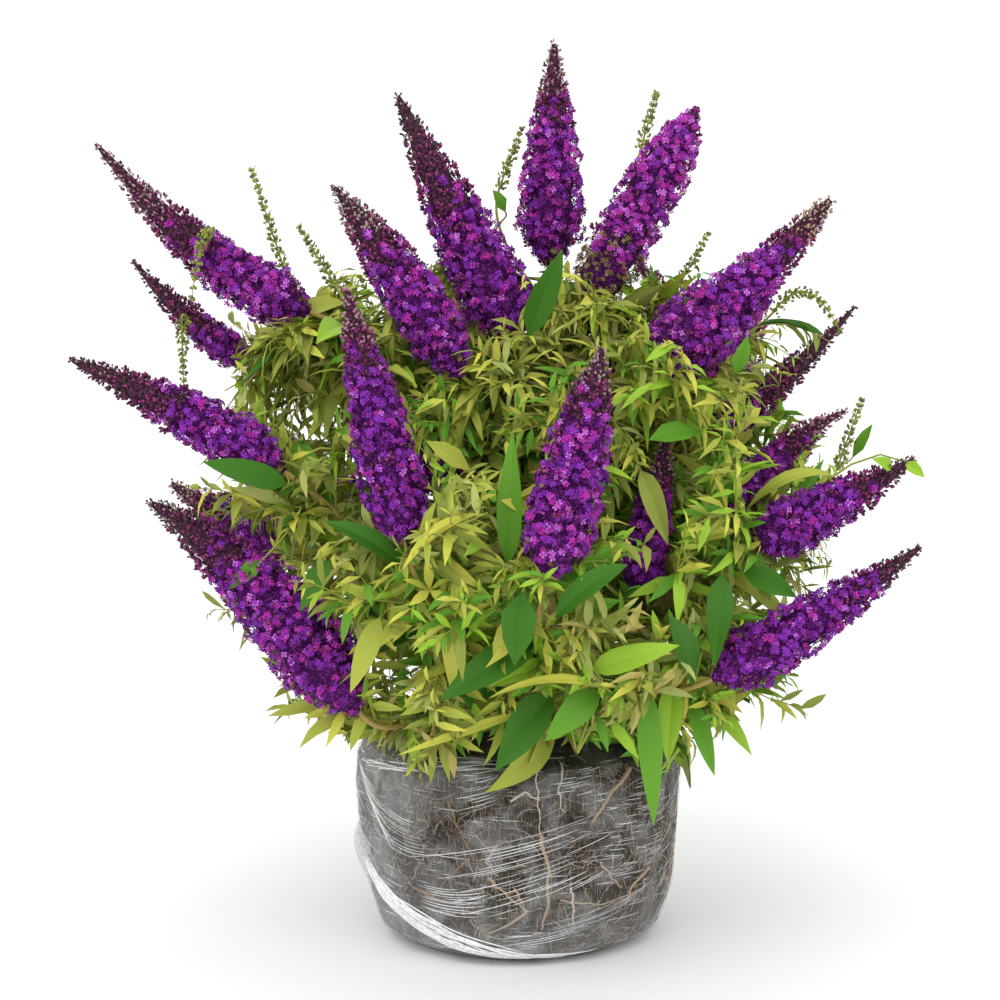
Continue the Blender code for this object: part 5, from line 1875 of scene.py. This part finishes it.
@dataclass
class BudSpikes:
    """The thin green spikes that haven't opened: whorls of round buds and leaflets on a slim stalk."""

    whorl_step: float = 5.5 * MM
    girth: float = 15 * MM
    buds_per_whorl: int = 7
    pieces: int = 19

    def build(self, skins: list) -> Object:
        """Build them all."""
        rows, leaflets, sheaf = [], [], Sheaf()
        for mass in MASSES:
            for number, bud in enumerate(mass.buds):
                rng = random.Random(f"{mass.name} bud {number}")
                path = bud_path(bud, self.pieces)
                length = sum((b - a).length for a, b in zip(path, path[1:]))
                add_tubes(sheaf, np.array(path)[None], np.linspace(1.1, 0.4, len(path))[None] * MM, 5, 2)
                whorls = round(length / self.whorl_step)
                for whorl in range(whorls + 1):
                    s = whorl / whorls
                    low = min(int(s * self.pieces), self.pieces - 1)
                    here = path[low].lerp(path[low + 1], s * self.pieces - low)
                    ahead = (path[low + 1] - path[low]).normalized()
                    for i in range(self.buds_per_whorl):
                        side = pair_directions(ahead, i * 2.4 + whorl)[0]
                        out = self.girth / 2 * (1 - 0.7 * s) * rng.uniform(0.35, 1.0)
                        spot = here + side * out + ahead * rng.uniform(-1.5, 1.5) * MM
                        size = rng.uniform(1.7, 2.8) * MM
                        rows.append((spot, (side + ahead).normalized(), size, rng.choice((0, 0, 1))))
                    for side in pair_directions(ahead, whorl * math.pi / 2):
                        root = here + side * 1.5 * MM
                        way = (side + ahead * rng.uniform(0.6, 1.3)).normalized()
                        way = way * rng.uniform(6, 11) * MM * (1 - 0.5 * s)
                        wide = way.cross(ahead) * 0.35
                        leaflets.append((root, root + way * 0.5 + wide, root + way, root + way * 0.5 - wide))
        add_buds(sheaf, rows, 0.7)
        corners = np.array(leaflets)
        sheaf.add(corners, np.arange(corners.shape[0] * 4).reshape(-1, 4), np.arange(len(corners)) % 2 * 2)
        return sheaf.build("bud_spikes", skins)


@dataclass
class Studio:
    """The pale floor, the soft light and the camera."""

    target: tuple = (-18.0, 0.0, 407.0)
    distance: float = 3.2
    elevation: float = 10.0
    frame_width: float = 0.92
    floor_radius: float = 60.0
    surround: float = 1.22
    suns: tuple = (("key", (0.3, 1.0, -1.6), 0.42, 35), ("fill", (0.2, 1.2, -0.7), 0.35, 60))

    def build_floor(self) -> None:
        """Build the floor: a wide shallow disc that reaches past every view's edge."""
        sheaf = Sheaf()
        rings = [ring_at(bearings(96), radius, 0.0) for radius in (0.0005, 1.0, 5.0, self.floor_radius)]
        sheaf.add(np.concatenate(rings), grid_faces(len(rings), 96, True)[:, ::-1], 0)
        sheaf.build("floor", [PaintedFloor().build()])

    def build_camera(self) -> None:
        """Set the camera at the photograph's angle."""
        lens = bpy.data.cameras.new("camera")
        lens.sensor_width = 36.0
        lens.lens = lens.sensor_width * self.distance / self.frame_width
        camera = bpy.data.objects.new("camera", lens)
        tilt = math.radians(self.elevation)
        camera.location = metres(self.target) + Vector((0, -math.cos(tilt), math.sin(tilt))) * self.distance
        camera.rotation_euler = (math.radians(90 - self.elevation), 0, 0)
        bpy.context.scene.collection.objects.link(camera)
        bpy.context.scene.camera = camera

    def build_light(self) -> None:
        """Set a white surround, a broad key from the front and upper left, and a broader, weaker fill."""
        world = bpy.data.worlds.new("studio_surround")
        bpy.context.scene.world = world
        world.use_nodes = True
        surround = world.node_tree.nodes["Background"].inputs
        surround["Color"].default_value = (1, 1, 1, 1)
        surround["Strength"].default_value = self.surround
        for name, heading, strength, spread in self.suns:
            lamp = bpy.data.lights.new(name, "SUN")
            lamp.energy = strength
            lamp.angle = math.radians(spread)
            holder = bpy.data.objects.new(name, lamp)
            holder.rotation_euler = Vector(heading).to_track_quat("-Z", "Y").to_euler()
            bpy.context.scene.collection.objects.link(holder)
        bpy.context.scene.view_settings.view_transform = "Standard"

    def build_all(self) -> None:
        """Build the studio."""
        self.build_floor()
        self.build_camera()
        self.build_light()


def keep_sizes() -> None:
    """Bring the view layer up to date."""
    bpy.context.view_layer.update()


def main() -> None:
    """Build the studio, the root ball, the limbs, the leaves and the flowers, in that order."""
    logging.basicConfig(level=logging.INFO, format="%(message)s")
    Studio().build_all()
    RootBall().build_all()
    canes = Limbs().build_canes()
    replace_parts(canes, "stool", *[f"bough_{mass.name}" for mass in MASSES])
    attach(canes, "root")
    growth = Growth()
    growth.show()
    growth.grow()
    leaf_skins = [skin.build() for skin in UPPER_LEAVES + UNDER_LEAVES]
    twig_skins = [skin.build() for skin in TWIG_SKINS]
    petal_skins = [skin.build() for skin in PETALS]
    bud_skins = [skin.build() for skin in (*BUDS, PackedBuds("spike_heart_violet", "#3c0848", "#7a2a86"),
                                           PackedBuds("spike_heart_aubergine", "#361a2c", "#6a4054"))]
    for part in Part:
        leaves = Foliage(part).build(growth.blades[part], leaf_skins)
        twigs = Limbs().build_twigs(part, growth.twigs[part], twig_skins)
        flowers = Blossom(part).build(petal_skins, bud_skins)
        for piece in (leaves, twigs, *flowers):
            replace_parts(piece, *[f"foliage_{mass.name}" for mass in masses_in(part)])
            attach(piece, "root")
    spikes = BudSpikes().build([skin.build() for skin in GREEN_BUDS])
    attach(spikes, "root")
    keep_sizes()


if __name__ == "__main__":
    main()
